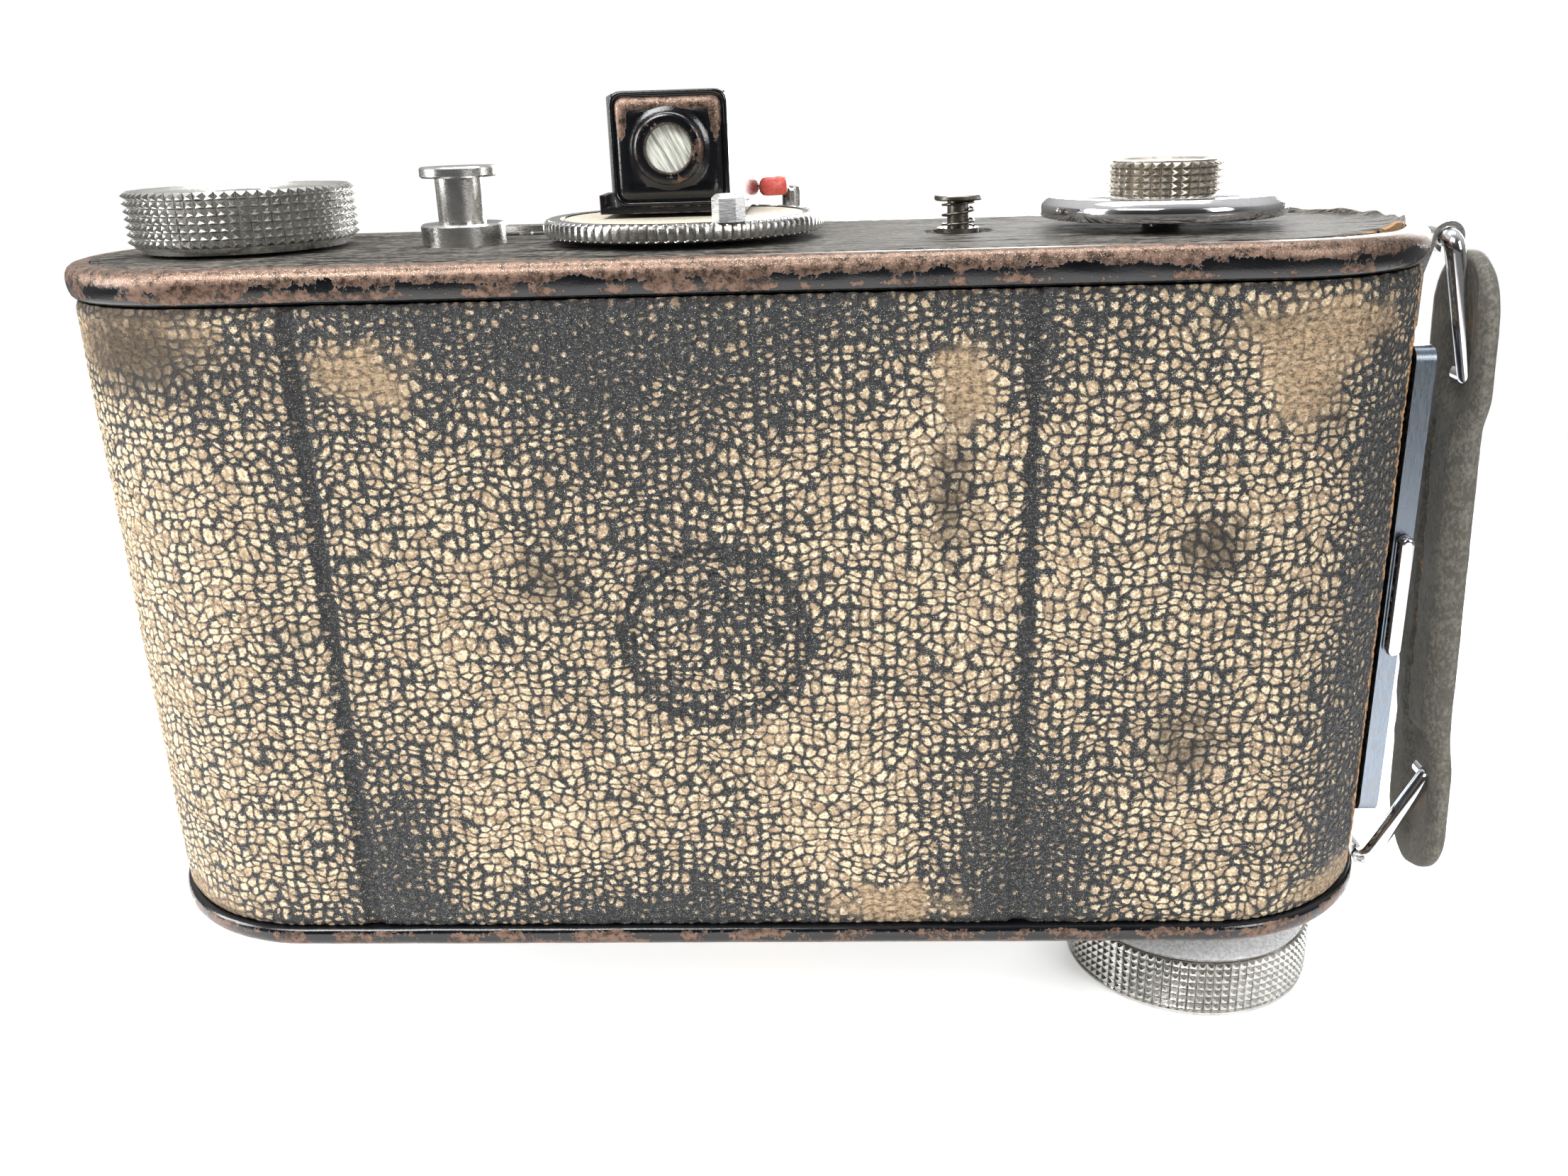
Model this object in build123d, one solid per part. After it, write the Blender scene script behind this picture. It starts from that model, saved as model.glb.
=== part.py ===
from build123d import *
import os
from math import asin, atan2, cos, degrees, pi, radians, sin, sqrt, tan

# A folding 35 mm camera with a strut-borne lens standard, millimetres.
# +X runs to the carrying strap, +Y out of the lens, +Z up.
# The origin is the mouth of the tripod bush in the middle of the base.

# ---- envelope of the body
RIM_LENGTH = 130.0
RIM_DEPTH = 38.2
HEIGHT = 68.0
TOP_RIM_LOW = 64.8
BOTTOM_RIM_HIGH = 2.1
RIM_PROUD = 0.5
LEATHER = 0.6
SHEET = 0.9
WALL_LENGTH = RIM_LENGTH - 2 * RIM_PROUD
WALL_DEPTH = RIM_DEPTH - 2 * RIM_PROUD
WALL_LOW, WALL_HIGH = 2.3, 64.6
PLATE_TOP = 67.4
PLATE_UNDER = 66.4
RUNNING = 0.05
GAP = 0.2

# ---- back cover, its hinge and its split lines
HINGE_X, HINGE_Y = -63.7, 5.2
HINGE_R, HINGE_PIN_R = 1.1, 0.5
HINGE_GAP = 1.4
RIGHT_SPLIT = -4.5
KNUCKLES = ((3.0, 17.0), (17.3, 49.7), (50.0, 64.0))
SEAMS_X = (-38.45, 26.73)

# ---- lens axis, gate and well
LENS_X, LENS_Z = -5.9, 34.0
FILM_PLANE_Y = -9.6
WELL_BACK_Y = -7.8
WELL_HALF = 28.5
WELL_LOW, WELL_HIGH = 7.5, 59.5
DECK_LOW, DECK_HIGH = 4.3, 61.0
BASE_TOP = 6.1
DECK_TOP = 64.0
CHAMBER_R = 13.6
CHAMBER_END_X = 59.5

# ---- film drive
ADVANCE_X = -48.7
REWIND_X = 48.3
GEAR_MODULE = 0.5
ADVANCE_TEETH, SPROCKET_TEETH = 38, 30
GEAR_LOW, GEAR_HIGH = 64.5, 65.5
SPROCKET_DX = 14.6
SPROCKET_DY = -sqrt((GEAR_MODULE * (ADVANCE_TEETH + SPROCKET_TEETH) / 2) ** 2 - SPROCKET_DX**2)
SPROCKET_X = ADVANCE_X + SPROCKET_DX
SHAFT_R = 2.0
GEAR_ROOM_R = 8.3

# ---- top controls
DIAL_X, DIAL_R = -5.2, 13.57
DIAL_LOW, DIAL_HIGH = 68.6, 70.3
DIAL_PIN_X, DIAL_PIN_Y = 0.0, -11.5
RELEASE_X = -27.0
TRANSPORT_X = 21.3
SCALE_X = 40.75
CATCH_X, CATCH_Y = -23.1, 10.0
POINTER_X, POINTER_Y = 4.8, 14.6
POINTER_TIP = (3.2, 9.5)

# ---- finder
FINDER_LOW, FINDER_HIGH = 71.3, 81.6
FINDER_HALF_BACK, FINDER_HALF_FRONT = 5.5, 8.9
FINDER_BACK_Y, FINDER_FRONT_Y = -4.0, 16.8

# ---- scissor struts
STRUT_LENGTH = 47.0
STRUT_FOOT_Z = 10.0
BODY_PIVOT_Y, STANDARD_PIVOT_Y = 6.0, 11.0
STRUT_TILT = asin((STANDARD_PIVOT_Y - BODY_PIVOT_Y) / STRUT_LENGTH)
STRUT_WIDTH = 3.6
PIN_R = 0.8
SLIDE_TRAVEL = 15.0

# ---- levers on the shutter's face
LEVER_RADIUS = 18.7
COCKING_ANGLE, RELEASE_ANGLE = 60, 130

# ---- strap hardware at the right end
LUG_TOP = (67.7, 66.3)
LUG_LOW = (66.95, -0.7)
LUG_HALF = 1.1
LINK_R = 0.95
LINK_LEG_Y = -2.2
LINK_TOP_FOOT = (71.1, 53.1)
LINK_LOW_FOOT = (72.7, 9.6)
FOOT_BAR_R, FOOT_BAR_HALF = 0.8, 4.6
STRAP_THICK = 2.1
STRAP_MID = (71.83, 31.5)
STRAP_HALF_LENGTH = 33.5
STRAP_HALF_MIDDLE, STRAP_HALF_LOBE = 4.9, 6.2
STRAP_LEAN = 2.37
STRAP_SLOTS = (8.05, 57.3)
SLOT_WIDTH, SLOT_HEIGHT = 6.6, 12.8
PLATE_IN, PLATE_OUT = 64.6, 66.5
LATCH_Z = 31.55
LATCH_TRAVEL = 3.0


def box(x0, x1, y0, y1, z0, z1):
    return Pos((x0 + x1) / 2, (y0 + y1) / 2, (z0 + z1) / 2) * Box(x1 - x0, y1 - y0, z1 - z0)


def disc(x, y, r, z0, z1):
    return Pos(x, y, (z0 + z1) / 2) * Cylinder(r, z1 - z0)


def slab(sketch, z0, z1):
    return Pos(0, 0, z0) * extrude(sketch, z1 - z0)


def slab_y(sketch, y0, y1):
    """A sketch drawn in X and Z, extruded from y0 to y1."""
    return extrude(Plane.XZ.offset(-y1) * sketch, y1 - y0)


def slab_x(sketch, x0, x1):
    """A sketch drawn in Y and Z, extruded from x0 to x1."""
    return extrude(Plane.YZ.offset(x0) * sketch, x1 - x0)


def disc_y(x, z, r, y0, y1):
    return slab_y(Pos(x, z) * Circle(r), y0, y1)


def tube_y(r_in, r_out, y0, y1):
    """A tube on the lens axis."""
    return disc_y(LENS_X, LENS_Z, r_out, y0, y1) - disc_y(LENS_X, LENS_Z, r_in, y0 - 1, y1 + 1)


def around_lens(radius, angle):
    """X and Z of a point at a polar place about the lens axis."""
    return LENS_X + radius * cos(radians(angle)), LENS_Z + radius * sin(radians(angle))


def wall(inset, z0, z1):
    return slab(SlotOverall(WALL_LENGTH - 2 * inset, WALL_DEPTH - 2 * inset), z0, z1)


def rim(inset, z0, z1):
    return slab(SlotOverall(RIM_LENGTH - 2 * inset, RIM_DEPTH - 2 * inset), z0, z1)


def wall_ring(outer, inner, z0, z1):
    return wall(outer, z0, z1) - wall(inner, z0 - 1, z1 + 1)


def front_side(z0=-1.0, z1=70.0):
    """Everything on the fixed side of the back cover's split."""
    left = box(-80, 0, HINGE_Y + HINGE_GAP, 40, z0, z1)
    return left + box(0, 80, RIGHT_SPLIT + GAP, 40, z0, z1)


def back_side(z0=-1.0, z1=70.0):
    left = box(-80, 0, -40, HINGE_Y - HINGE_GAP, z0, z1)
    return left + box(0, 80, -40, RIGHT_SPLIT, z0, z1)


def front_opening():
    return box(LENS_X - 31, LENS_X + 31, 10, 30, 5, 63)


def latch_slot():
    return box(60, 70, -1.1, 1.1, LATCH_Z - 1.7, LATCH_Z + 1.7 + LATCH_TRAVEL)


def latch_groove():
    """The groove in the side plate's outer face that the latch's bar runs in."""
    return box(65.7, 70, -5, 1.1, LATCH_Z - 2, LATCH_Z + 2 + LATCH_TRAVEL)


# ---- fixed body ---------------------------------------------------------------


def casting():
    """Two decks, two film chambers, the gate and the bellows well, before it is parted in two."""
    part = wall(1.9, BOTTOM_RIM_HIGH, DECK_TOP)
    part += wall_ring(1.9, 3.1, DECK_TOP, TOP_RIM_LOW)
    for x in (ADVANCE_X, REWIND_X):
        part -= disc(x, 0, CHAMBER_R, DECK_LOW, DECK_HIGH)
        part -= box(x - CHAMBER_R, x + CHAMBER_R, -25, 0, DECK_LOW, DECK_HIGH)
    for side in (-1, 1):
        x0, x1 = sorted((side * CHAMBER_END_X, side * 70))
        part -= box(x0, x1, -25, 25, DECK_LOW, DECK_HIGH)
    part -= box(-70, 70, -25, FILM_PLANE_Y, DECK_LOW, DECK_HIGH)
    part -= box(LENS_X - WELL_HALF, LENS_X + WELL_HALF, WELL_BACK_Y, 25, WELL_LOW, WELL_HIGH)
    part -= box(LENS_X - 18, LENS_X + 18, -15, 0, LENS_Z - 12, LENS_Z + 12)
    part -= disc(SPROCKET_X, SPROCKET_DY, 5.9, 14, 54)
    part -= disc(SPROCKET_X, SPROCKET_DY, 1.2 + RUNNING, 3, 70)
    part -= disc(SPROCKET_X, SPROCKET_DY, GEAR_ROOM_R, DECK_TOP, 70)
    part -= disc(ADVANCE_X, 0, SHAFT_R + RUNNING, 50, 70)
    part -= disc(ADVANCE_X, 0, 1.5 + RUNNING, 3, 10)
    part -= disc(REWIND_X, 0, 2.5 + RUNNING, 0, 10)
    part -= disc(0, 0, 6.6, 0, BASE_TOP)
    part -= disc(RELEASE_X, 0, 2.5, 60.2, 70)
    return part


def chassis():
    return casting() & box(-80, 80, -40, 40, BASE_TOP, 70)


def base_deck():
    """The lower casting, which the film chambers stand on and the tripod bush is set in."""
    return casting() & box(-80, 80, -40, 40, 0, BASE_TOP)


def front_shell():
    """The fixed part of the sheet-metal casing, with the front opening and two hinge knuckles."""
    part = wall_ring(LEATHER, LEATHER + SHEET, BOTTOM_RIM_HIGH, TOP_RIM_LOW) & front_side()
    part -= front_opening()
    part -= latch_slot()
    for z0, z1 in (KNUCKLES[0], KNUCKLES[2]):
        part += disc(HINGE_X, HINGE_Y, HINGE_R, z0, z1)
        part += box(HINGE_X + 0.4, HINGE_X + 1.8, HINGE_Y, HINGE_Y + 2.2, z0, z1)
        part -= disc(HINGE_X, HINGE_Y, HINGE_PIN_R, z0 - 1, z1 + 1)
    return part


def front_leather():
    part = wall_ring(0, LEATHER, BOTTOM_RIM_HIGH, TOP_RIM_LOW) & front_side()
    part -= box(-70, -60, 0, HINGE_Y + 2.4, 0, 70)
    return part - front_opening() - latch_slot()


def opening_trim():
    outer = Pos(LENS_X, LENS_Z) * RectangleRounded(65, 61, 3)
    inner = Pos(LENS_X, LENS_Z) * Rectangle(62, 58)
    return slab_y(outer - inner, WALL_DEPTH / 2, WALL_DEPTH / 2 + 0.4)


def top_cap():
    """The enamelled top with its rounded rim; a sunk field takes the leather."""
    part = rim(0, TOP_RIM_LOW, HEIGHT)
    top = part.edges().group_by(Axis.Z)[-1]
    part = fillet(top, 1.0)
    low = part.edges().group_by(Axis.Z)[0]
    part = chamfer(low, 0.5)
    part -= rim(2.2, PLATE_TOP, HEIGHT + 1)
    part -= rim(3.8, TOP_RIM_LOW - 1, PLATE_UNDER)
    part -= disc(SPROCKET_X, SPROCKET_DY, GEAR_ROOM_R, 60, PLATE_UNDER)
    part -= disc(ADVANCE_X, 0, SHAFT_R + RUNNING, 60, 70)
    part -= disc(DIAL_X, 0, 1.8 + RUNNING, 60, 70)
    part -= disc(RELEASE_X, 0, 2.28 + 2 * RUNNING, 60, 70)
    part -= disc(TRANSPORT_X, 0, 1.05 + RUNNING, 60, 70)
    part -= disc(SCALE_X, 0, 1.8 + RUNNING, 60, 70)
    return part - catch_slot()


def catch_slot():
    return box(CATCH_X - 3.0, CATCH_X + 0.8, CATCH_Y - 0.8, CATCH_Y + 0.8, 60, 70)


def top_leather():
    part = rim(2.3, PLATE_TOP, HEIGHT)
    part -= disc(ADVANCE_X, 0, SHAFT_R + 1, 60, 70)
    part -= disc(DIAL_X, 0, 3, 60, 70)
    part -= disc(RELEASE_X, 0, 4.05, 60, 70)
    part -= disc(TRANSPORT_X, 0, 3.0, 60, 70)
    part -= disc(SCALE_X, 0, 3, 60, 70)
    part -= box(LENS_X - 6.0, LENS_X + 6.0, 14.2, 16.6, 60, 70)
    part -= disc(POINTER_X, POINTER_Y, 1.2, 60, 70)
    return part - catch_slot()


def bottom_cap():
    part = rim(0, 0, BOTTOM_RIM_HIGH)
    part = fillet(part.edges().group_by(Axis.Z)[0], 0.8)
    part -= rim(2.2, -1, 0.5)
    part -= disc(0, 0, 7.5, -1, 5)
    return part - disc(REWIND_X, 0, 2.5 + RUNNING, -1, 5)


def bottom_leather():
    part = rim(2.3, 0.05, 0.5) - disc(0, 0, 7.5, -1, 5)
    return part - disc(REWIND_X, 0, 6.6, -1, 5)


def tripod_bush():
    """A 3/8 inch tripod bush, riveted through the base."""
    part = disc(0, 0, 7.5, 0, BOTTOM_RIM_HIGH) + disc(0, 0, 6.5, 1, 6)
    return part - disc(0, 0, 4.76, -1, 7)


def strut_brackets():
    """Side plates of the well: the outer struts pivot on their pins, the inner struts slide in their slots."""
    both = []
    for side in (-1, 1):
        outline = Pos(9.5, LENS_Z - 0.5) * Rectangle(13, 51.5)
        face, back = LENS_X + side * 28.1, LENS_X + side * 28.5
        plate = slab_x(outline - pin_slot(BODY_PIVOT_Y), min(face, back), max(face, back))
        tip = LENS_X + side * 27.1
        pin = slab_x(Pos(BODY_PIVOT_Y, STRUT_FOOT_Z) * Circle(PIN_R), min(tip, back), max(tip, back))
        both.append(plate + pin)
    return Compound(children=both)


def pin_slot(y):
    """The slot that an upper strut pin slides down as the struts spread."""
    top = STRUT_FOOT_Z + STRUT_LENGTH * cos(STRUT_TILT)
    spread = (STANDARD_PIVOT_Y - BODY_PIVOT_Y + SLIDE_TRAVEL) / STRUT_LENGTH
    low = STRUT_FOOT_Z + STRUT_LENGTH * cos(asin(spread))
    return Pos(y, (top + low) / 2) * Rectangle(2 * (PIN_R + 0.3), top - low + 2 * (PIN_R + 0.3))


def bellows():
    """The folded bellows as one tapered tube."""
    def frustum(rear, front, extra):
        a = Plane.XZ.offset(-(WELL_BACK_Y - extra)) * (Pos(LENS_X, LENS_Z) * Rectangle(*rear))
        b = Plane.XZ.offset(-(16.9 + extra)) * (Pos(LENS_X, LENS_Z) * Rectangle(*front))
        return loft([a, b])

    return frustum((44, 35), (32, 30), 0) - frustum((41, 32), (29, 27), 0.01)


# ---- back cover ---------------------------------------------------------------


def back_cover():
    """The swinging sheet-metal back; it wraps both ends and carries the middle knuckle."""
    part = wall_ring(LEATHER, LEATHER + SHEET, WALL_LOW, WALL_HIGH) & back_side()
    z0, z1 = KNUCKLES[1]
    part += disc(HINGE_X, HINGE_Y, HINGE_R, z0, z1)
    part += box(HINGE_X - 0.3, HINGE_X + 1.0, HINGE_Y - 2.2, HINGE_Y, z0, z1)
    return part - disc(HINGE_X, HINGE_Y, HINGE_PIN_R + RUNNING, z0 - 1, z1 + 1)


def back_leather():
    part = wall_ring(0, LEATHER, WALL_LOW, WALL_HIGH) & back_side()
    part -= box(-70, -60, HINGE_Y - 2.4, 20, 0, 70)
    for x in SEAMS_X:
        part -= box(x - 0.6, x + 0.6, -WALL_DEPTH / 2 - 1, -WALL_DEPTH / 2 + 0.3, 0, 70)
    return part


def pressure_plate():
    part = box(LENS_X - 22, LENS_X + 22, FILM_PLANE_Y - 1.4, FILM_PLANE_Y - 0.4, 15.5, 52.5)
    return fillet(part.edges().filter_by(Axis.Y), 2)


def leaf_springs():
    """Two bowed leaves between the back cover and the pressure plate."""
    base = -WALL_DEPTH / 2 + LEATHER + SHEET
    crown = FILM_PLANE_Y - 1.4
    outer = ThreePointArc((LENS_X - 15, base), (LENS_X, crown), (LENS_X + 15, base))
    inner = ThreePointArc((LENS_X + 14.2, base), (LENS_X, crown - 0.4), (LENS_X - 14.2, base))
    feet = [Line(outer @ 1, inner @ 0), Line(inner @ 1, outer @ 0)]
    leaf = make_face([outer, inner, *feet])
    return Compound(children=[slab(leaf, z, z + 5) for z in (20, 43)])


# ---- film drive ---------------------------------------------------------------


def spur_gear(teeth, phase, bore):
    """An involute spur gear with a little backlash, one tooth pointing along phase."""
    pitch = GEAR_MODULE * teeth / 2
    base = pitch * cos(radians(20))
    tip, root = pitch + 0.9 * GEAR_MODULE, pitch - 1.25 * GEAR_MODULE
    half_pitch_angle = pi / (2 * teeth) - 0.045 / pitch

    def involute(radius):
        a = sqrt(max(radius**2 / base**2 - 1, 0))
        return a - atan2(a, 1)

    at_pitch = involute(pitch)
    flank = [root] + [max(base, root) + (tip - max(base, root)) * i / 3 for i in range(4)]
    points = []
    for k in range(teeth):
        middle = radians(phase) + 2 * pi * k / teeth
        half = [half_pitch_angle + at_pitch - involute(max(r, base)) for r in flank]
        for r, h in zip(flank, half):
            points.append((r * cos(middle - h), r * sin(middle - h)))
        for r, h in zip(reversed(flank), reversed(half)):
            points.append((r * cos(middle + h), r * sin(middle + h)))
    face = make_face(Polyline(*points, close=True))
    return slab(face - Circle(bore), GEAR_LOW, GEAR_HIGH)


GEAR_LINE = degrees(atan2(SPROCKET_DY, SPROCKET_DX))


def advance_gear():
    return Pos(ADVANCE_X, 0, 0) * spur_gear(ADVANCE_TEETH, GEAR_LINE, SHAFT_R)


def sprocket_gear():
    phase = GEAR_LINE + 180 + 180 / SPROCKET_TEETH
    return Pos(SPROCKET_X, SPROCKET_DY, 0) * spur_gear(SPROCKET_TEETH, phase, 1.2)


def advance_knob():
    part = disc(ADVANCE_X, 0, 10.73, 69.04, 74.04)
    part = chamfer(part.edges().group_by(Axis.Z)[-1], 0.35)
    return part + disc(ADVANCE_X, 0, 9.6, 68.3, 69.04)


def advance_shaft():
    return disc(ADVANCE_X, 0, SHAFT_R, 53, 68.3)


def takeup_spool():
    part = disc(ADVANCE_X, 0, 5, 15, 53)
    part += disc(ADVANCE_X, 0, 10.9, 15, 16) + disc(ADVANCE_X, 0, 10.9, 52, 53)
    part += disc(ADVANCE_X, 0, 1.5, 3.4, 15)
    return part - box(ADVANCE_X - 6, ADVANCE_X + 6, -0.5, 0.5, 20, 48)


def sprocket_roller():
    part = disc(SPROCKET_X, SPROCKET_DY, 4.1, 16, 52)
    part += disc(SPROCKET_X, SPROCKET_DY, 1.2, 3.4, 65.9)
    for low in (18.2, 47.6):
        part += disc(SPROCKET_X, SPROCKET_DY, 4.8, low, low + 2.2)
        for k in range(8):
            tooth = Pos(4.8, 0, low + 1.1) * Box(1.4, 0.9, 1.2)
            part += Pos(SPROCKET_X, SPROCKET_DY, 0) * Rot(0, 0, 45 * k) * tooth
    return part


def rewind_knob():
    part = disc(REWIND_X, 0, 13.3, -13.1, -6.5)
    part = chamfer(part.edges().group_by(Axis.Z)[0], 0.4)
    part += Pos(REWIND_X, 0, -5.4) * Cone(12.9, 9.6, 2.2)
    return part + disc(REWIND_X, 0, 6.0, -4.4, -0.4)


def rewind_shaft():
    """The shaft with its two-pronged fork for the cassette's spool."""
    part = disc(REWIND_X, 0, 2.5, -0.4, 9)
    return part + box(REWIND_X - 2.2, REWIND_X - 0.8, -0.8, 0.8, 8, 12) + box(
        REWIND_X + 0.8, REWIND_X + 2.2, -0.8, 0.8, 8, 12)


# ---- top controls -------------------------------------------------------------


def counter_dial():
    part = disc(DIAL_X, 0, DIAL_R, DIAL_LOW, DIAL_HIGH)
    part = chamfer(part.edges(), 0.25)
    part -= disc(DIAL_X, 0, 11.9, 70.1, 71) - disc(DIAL_X, 0, 11.4, 70.0, 71)
    return part + disc(DIAL_X, 0, 1.8, 64.6, DIAL_LOW + 0.1)


def counter_pin():
    pin = slab(Pos(DIAL_PIN_X, DIAL_PIN_Y) * RegularPolygon(1.5, 6), DIAL_HIGH, 72.7)
    return chamfer(pin.faces().sort_by(Axis.Z)[-1].edges(), 0.35)


def release_button():
    part = disc(RELEASE_X, 0, 3.65, 74.35, 75.35)
    part = chamfer(part.edges(), 0.15)
    return part + disc(RELEASE_X, 0, 2.28, 66.6, 74.4)


def release_collar():
    part = disc(RELEASE_X, 0, 4.05, PLATE_TOP, 70.05)
    part = chamfer(part.edges().group_by(Axis.Z)[-1], 0.2)
    return part - disc(RELEASE_X, 0, 2.28 + RUNNING, 60, 80)


def coil_spring(x, r_in, r_out, z0, z1):
    return disc(x, 0, r_out, z0, z1) - disc(x, 0, r_in, z0 - 1, z1 + 1)


def transport_button():
    part = chamfer(disc(TRANSPORT_X, 0, 2.3, 70.9, 71.4).edges(), 0.12)
    return part + disc(TRANSPORT_X, 0, 1.05, 65.9, 71.0)


def transport_bush():
    return coil_spring(TRANSPORT_X, 1.05 + RUNNING, 2.0, PLATE_TOP, 68.35)


def scale_disc():
    """A polished disc with a bevelled edge and one index notch."""
    part = disc(SCALE_X, 0, 11.45, 69.0, 70.98)
    part = chamfer(part.edges().group_by(Axis.Z)[-1], 0.6)
    part -= box(SCALE_X - 0.5, SCALE_X + 0.5, -12, -10.9, 68, 72)
    return part + disc(SCALE_X, 0, 1.8, 64.6, 69.1)


def scale_grip():
    part = disc(SCALE_X, 0, 5.36, 70.98, 74.15)
    return chamfer(part.edges().group_by(Axis.Z)[-1], 0.3)


def front_catch():
    """A flat thumb bar on a stem that runs in a slot of the top."""
    part = box(CATCH_X - 2.1, CATCH_X + 2.1, CATCH_Y - 1.2, CATCH_Y + 1.2, 68.35, 68.95)
    return part + box(CATCH_X - 0.6, CATCH_X + 0.6, CATCH_Y - 0.65, CATCH_Y + 0.65, 65.0, 68.4)


def signal_pointer():
    """A flat arm on a small post, with an upright flag at its tip."""
    part = disc(POINTER_X, POINTER_Y, 1.0, PLATE_TOP + 0.1, 71.9)
    reach = sqrt((POINTER_TIP[0] - POINTER_X) ** 2 + (POINTER_TIP[1] - POINTER_Y) ** 2)
    bearing = degrees(atan2(POINTER_TIP[1] - POINTER_Y, POINTER_TIP[0] - POINTER_X))
    arm = Pos(reach / 2, 0, 71.6) * Box(reach, 1.4, 0.5)
    flag = Pos(reach, 0.2, 72.2) * Box(0.5, 3.0, 1.7)
    return part + Pos(POINTER_X, POINTER_Y, 0) * Rot(0, 0, bearing) * (arm + flag)


# ---- finder -------------------------------------------------------------------


def finder_box(half_back, half_front, low, high, y0, y1):
    height, middle = high - low, (high + low) / 2
    rear = Plane.XZ.offset(-y0) * (Pos(LENS_X, middle) * Rectangle(2 * half_back, height))
    front = Plane.XZ.offset(-y1) * (Pos(LENS_X, middle) * Rectangle(2 * half_front, height))
    return loft([rear, front])


def finder_housing():
    back, front = FINDER_BACK_Y + 1.4, FINDER_FRONT_Y
    outer = finder_box(FINDER_HALF_BACK - 0.2, FINDER_HALF_FRONT, FINDER_LOW, FINDER_HIGH - 0.2, back, front)
    inner = finder_box(FINDER_HALF_BACK - 1, FINDER_HALF_FRONT - 0.8, FINDER_LOW + 0.8,
                       FINDER_HIGH - 1, back - 0.01, front + 0.01)
    return outer - inner


def finder_rear_cap():
    middle = (FINDER_LOW + FINDER_HIGH) / 2
    outline = Pos(LENS_X, middle) * RectangleRounded(
        2 * FINDER_HALF_BACK, FINDER_HIGH - FINDER_LOW, 1.1)
    return slab_y(outline - Pos(LENS_X, middle) * Circle(2.4), FINDER_BACK_Y, FINDER_BACK_Y + 1.4)


def eyepiece_ring():
    middle = (FINDER_LOW + FINDER_HIGH) / 2
    part = disc_y(LENS_X, middle, 3.27, FINDER_BACK_Y - 0.7, FINDER_BACK_Y)
    part = chamfer(part.edges().group_by(Axis.Y)[0], 0.3)
    return part - disc_y(LENS_X, middle, 2.1, -10, 0)


def finder_lenses():
    """The round eyepiece glass and the rectangular front glass."""
    middle = (FINDER_LOW + FINDER_HIGH) / 2
    eye = disc_y(LENS_X, middle, 2.4, FINDER_BACK_Y, FINDER_BACK_Y + 1.0)
    outline = Pos(LENS_X, middle - 0.1) * Rectangle(15.4, 8.2)
    return Compound(children=[eye, slab_y(outline, FINDER_FRONT_Y - 1.6, FINDER_FRONT_Y - 0.6)])


def finder_foot():
    """A plate under the finder on a pillar in front of the dial, with an upturned lip at the back."""
    part = box(LENS_X - 6.9, LENS_X + 6.9, -3.4, 17.0, 70.65, FINDER_LOW)
    part += box(LENS_X - 6.0, LENS_X + 6.0, 14.2, 16.6, PLATE_TOP, 70.65)
    return part + box(LENS_X - 6.9, LENS_X - 6.3, -3.4, 2.0, FINDER_LOW, 72.4)


# ---- side plate, latch, lugs, links and strap ----------------------------------


def side_plate():
    outline = Pos(0, 31.5) * RectangleRounded(9.6, 50, 1.5)
    outline -= Pos(0, 57.6) * Circle(2.6)
    return slab_x(outline, PLATE_IN, PLATE_OUT) - latch_slot() - latch_groove()


def latch_slider():
    """A long thumb piece beside the plate, a bar in the plate's groove, and a keeper inside the wall."""
    thumb = slab_y(Pos(65.55, LATCH_Z) * Rot(0, 0, 90) * SlotOverall(12.7, 1.5), -6.2, -5.0)
    thumb = fillet(thumb.edges().group_by(Axis.Y)[0], 0.4)
    bar = box(65.85, 66.4, -5.1, 1.0, LATCH_Z - 1.8, LATCH_Z + 1.8)
    stem = box(62.2, 66.0, -0.9, 0.9, LATCH_Z - 1.5, LATCH_Z + 1.5)
    return thumb + bar + stem + box(61.4, 62.4, -2.2, 2.2, LATCH_Z - 2.5, LATCH_Z + 2.5)


def lug(pivot, foot_z, bend_z, up):
    """A strip of sheet that leaves the wall, leans out and curls round the link's bridge."""
    x, z = pivot
    ring = Pos(x, z) * (Circle(1.5) - Circle(1.05))
    opening = Pos(x + 1, z - up * 1.2) * Rectangle(3.2, 1.2)
    inner_x = 65.15
    lean = Polyline((x - 1.5, z), (x - 1.0, z), (inner_x + 0.5, bend_z), (inner_x + 0.5, foot_z),
                    (inner_x, foot_z), (inner_x, bend_z), close=True)
    return slab_y(ring - opening + make_face(lean), -LUG_HALF, LUG_HALF)


def strap_lugs():
    """Both lugs with their foot blocks beside the side plate's ends."""
    top = lug(LUG_TOP, 58.2, 62.5, 1) + box(64.55, 65.15, -2.6, 2.6, 58.2, 63.4)
    low = lug(LUG_LOW, 6.2, 3.6, -1) + box(64.55, 65.15, -2.6, 2.6, 3.4, 6.2)
    return Compound(children=[top, low])


def strap_face_x(z, side):
    """X of the strap's inner or outer face at a height."""
    return STRAP_MID[0] - (z - STRAP_MID[1]) * tan(radians(STRAP_LEAN)) + side * STRAP_THICK / 2


def link(pivot, foot):
    """A wire hook: its bridge lies in the lug, its leg runs through the slot to a cross bar behind the strap."""
    bar_x = strap_face_x(foot[1], 1) + GAP + 0.05 + FOOT_BAR_R
    path = FilletPolyline((pivot[0], LUG_HALF + 1, pivot[1]), (pivot[0], LINK_LEG_Y, pivot[1]),
                          (foot[0], LINK_LEG_Y, foot[1]), (bar_x, LINK_LEG_Y, foot[1]), radius=[1.1, 0.95])
    wire = sweep(Plane(origin=path @ 0, z_dir=path % 0) * Circle(LINK_R), path=path)
    return wire + slab_y(Pos(bar_x, foot[1]) * Circle(FOOT_BAR_R), -FOOT_BAR_HALF, FOOT_BAR_HALF)


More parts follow.
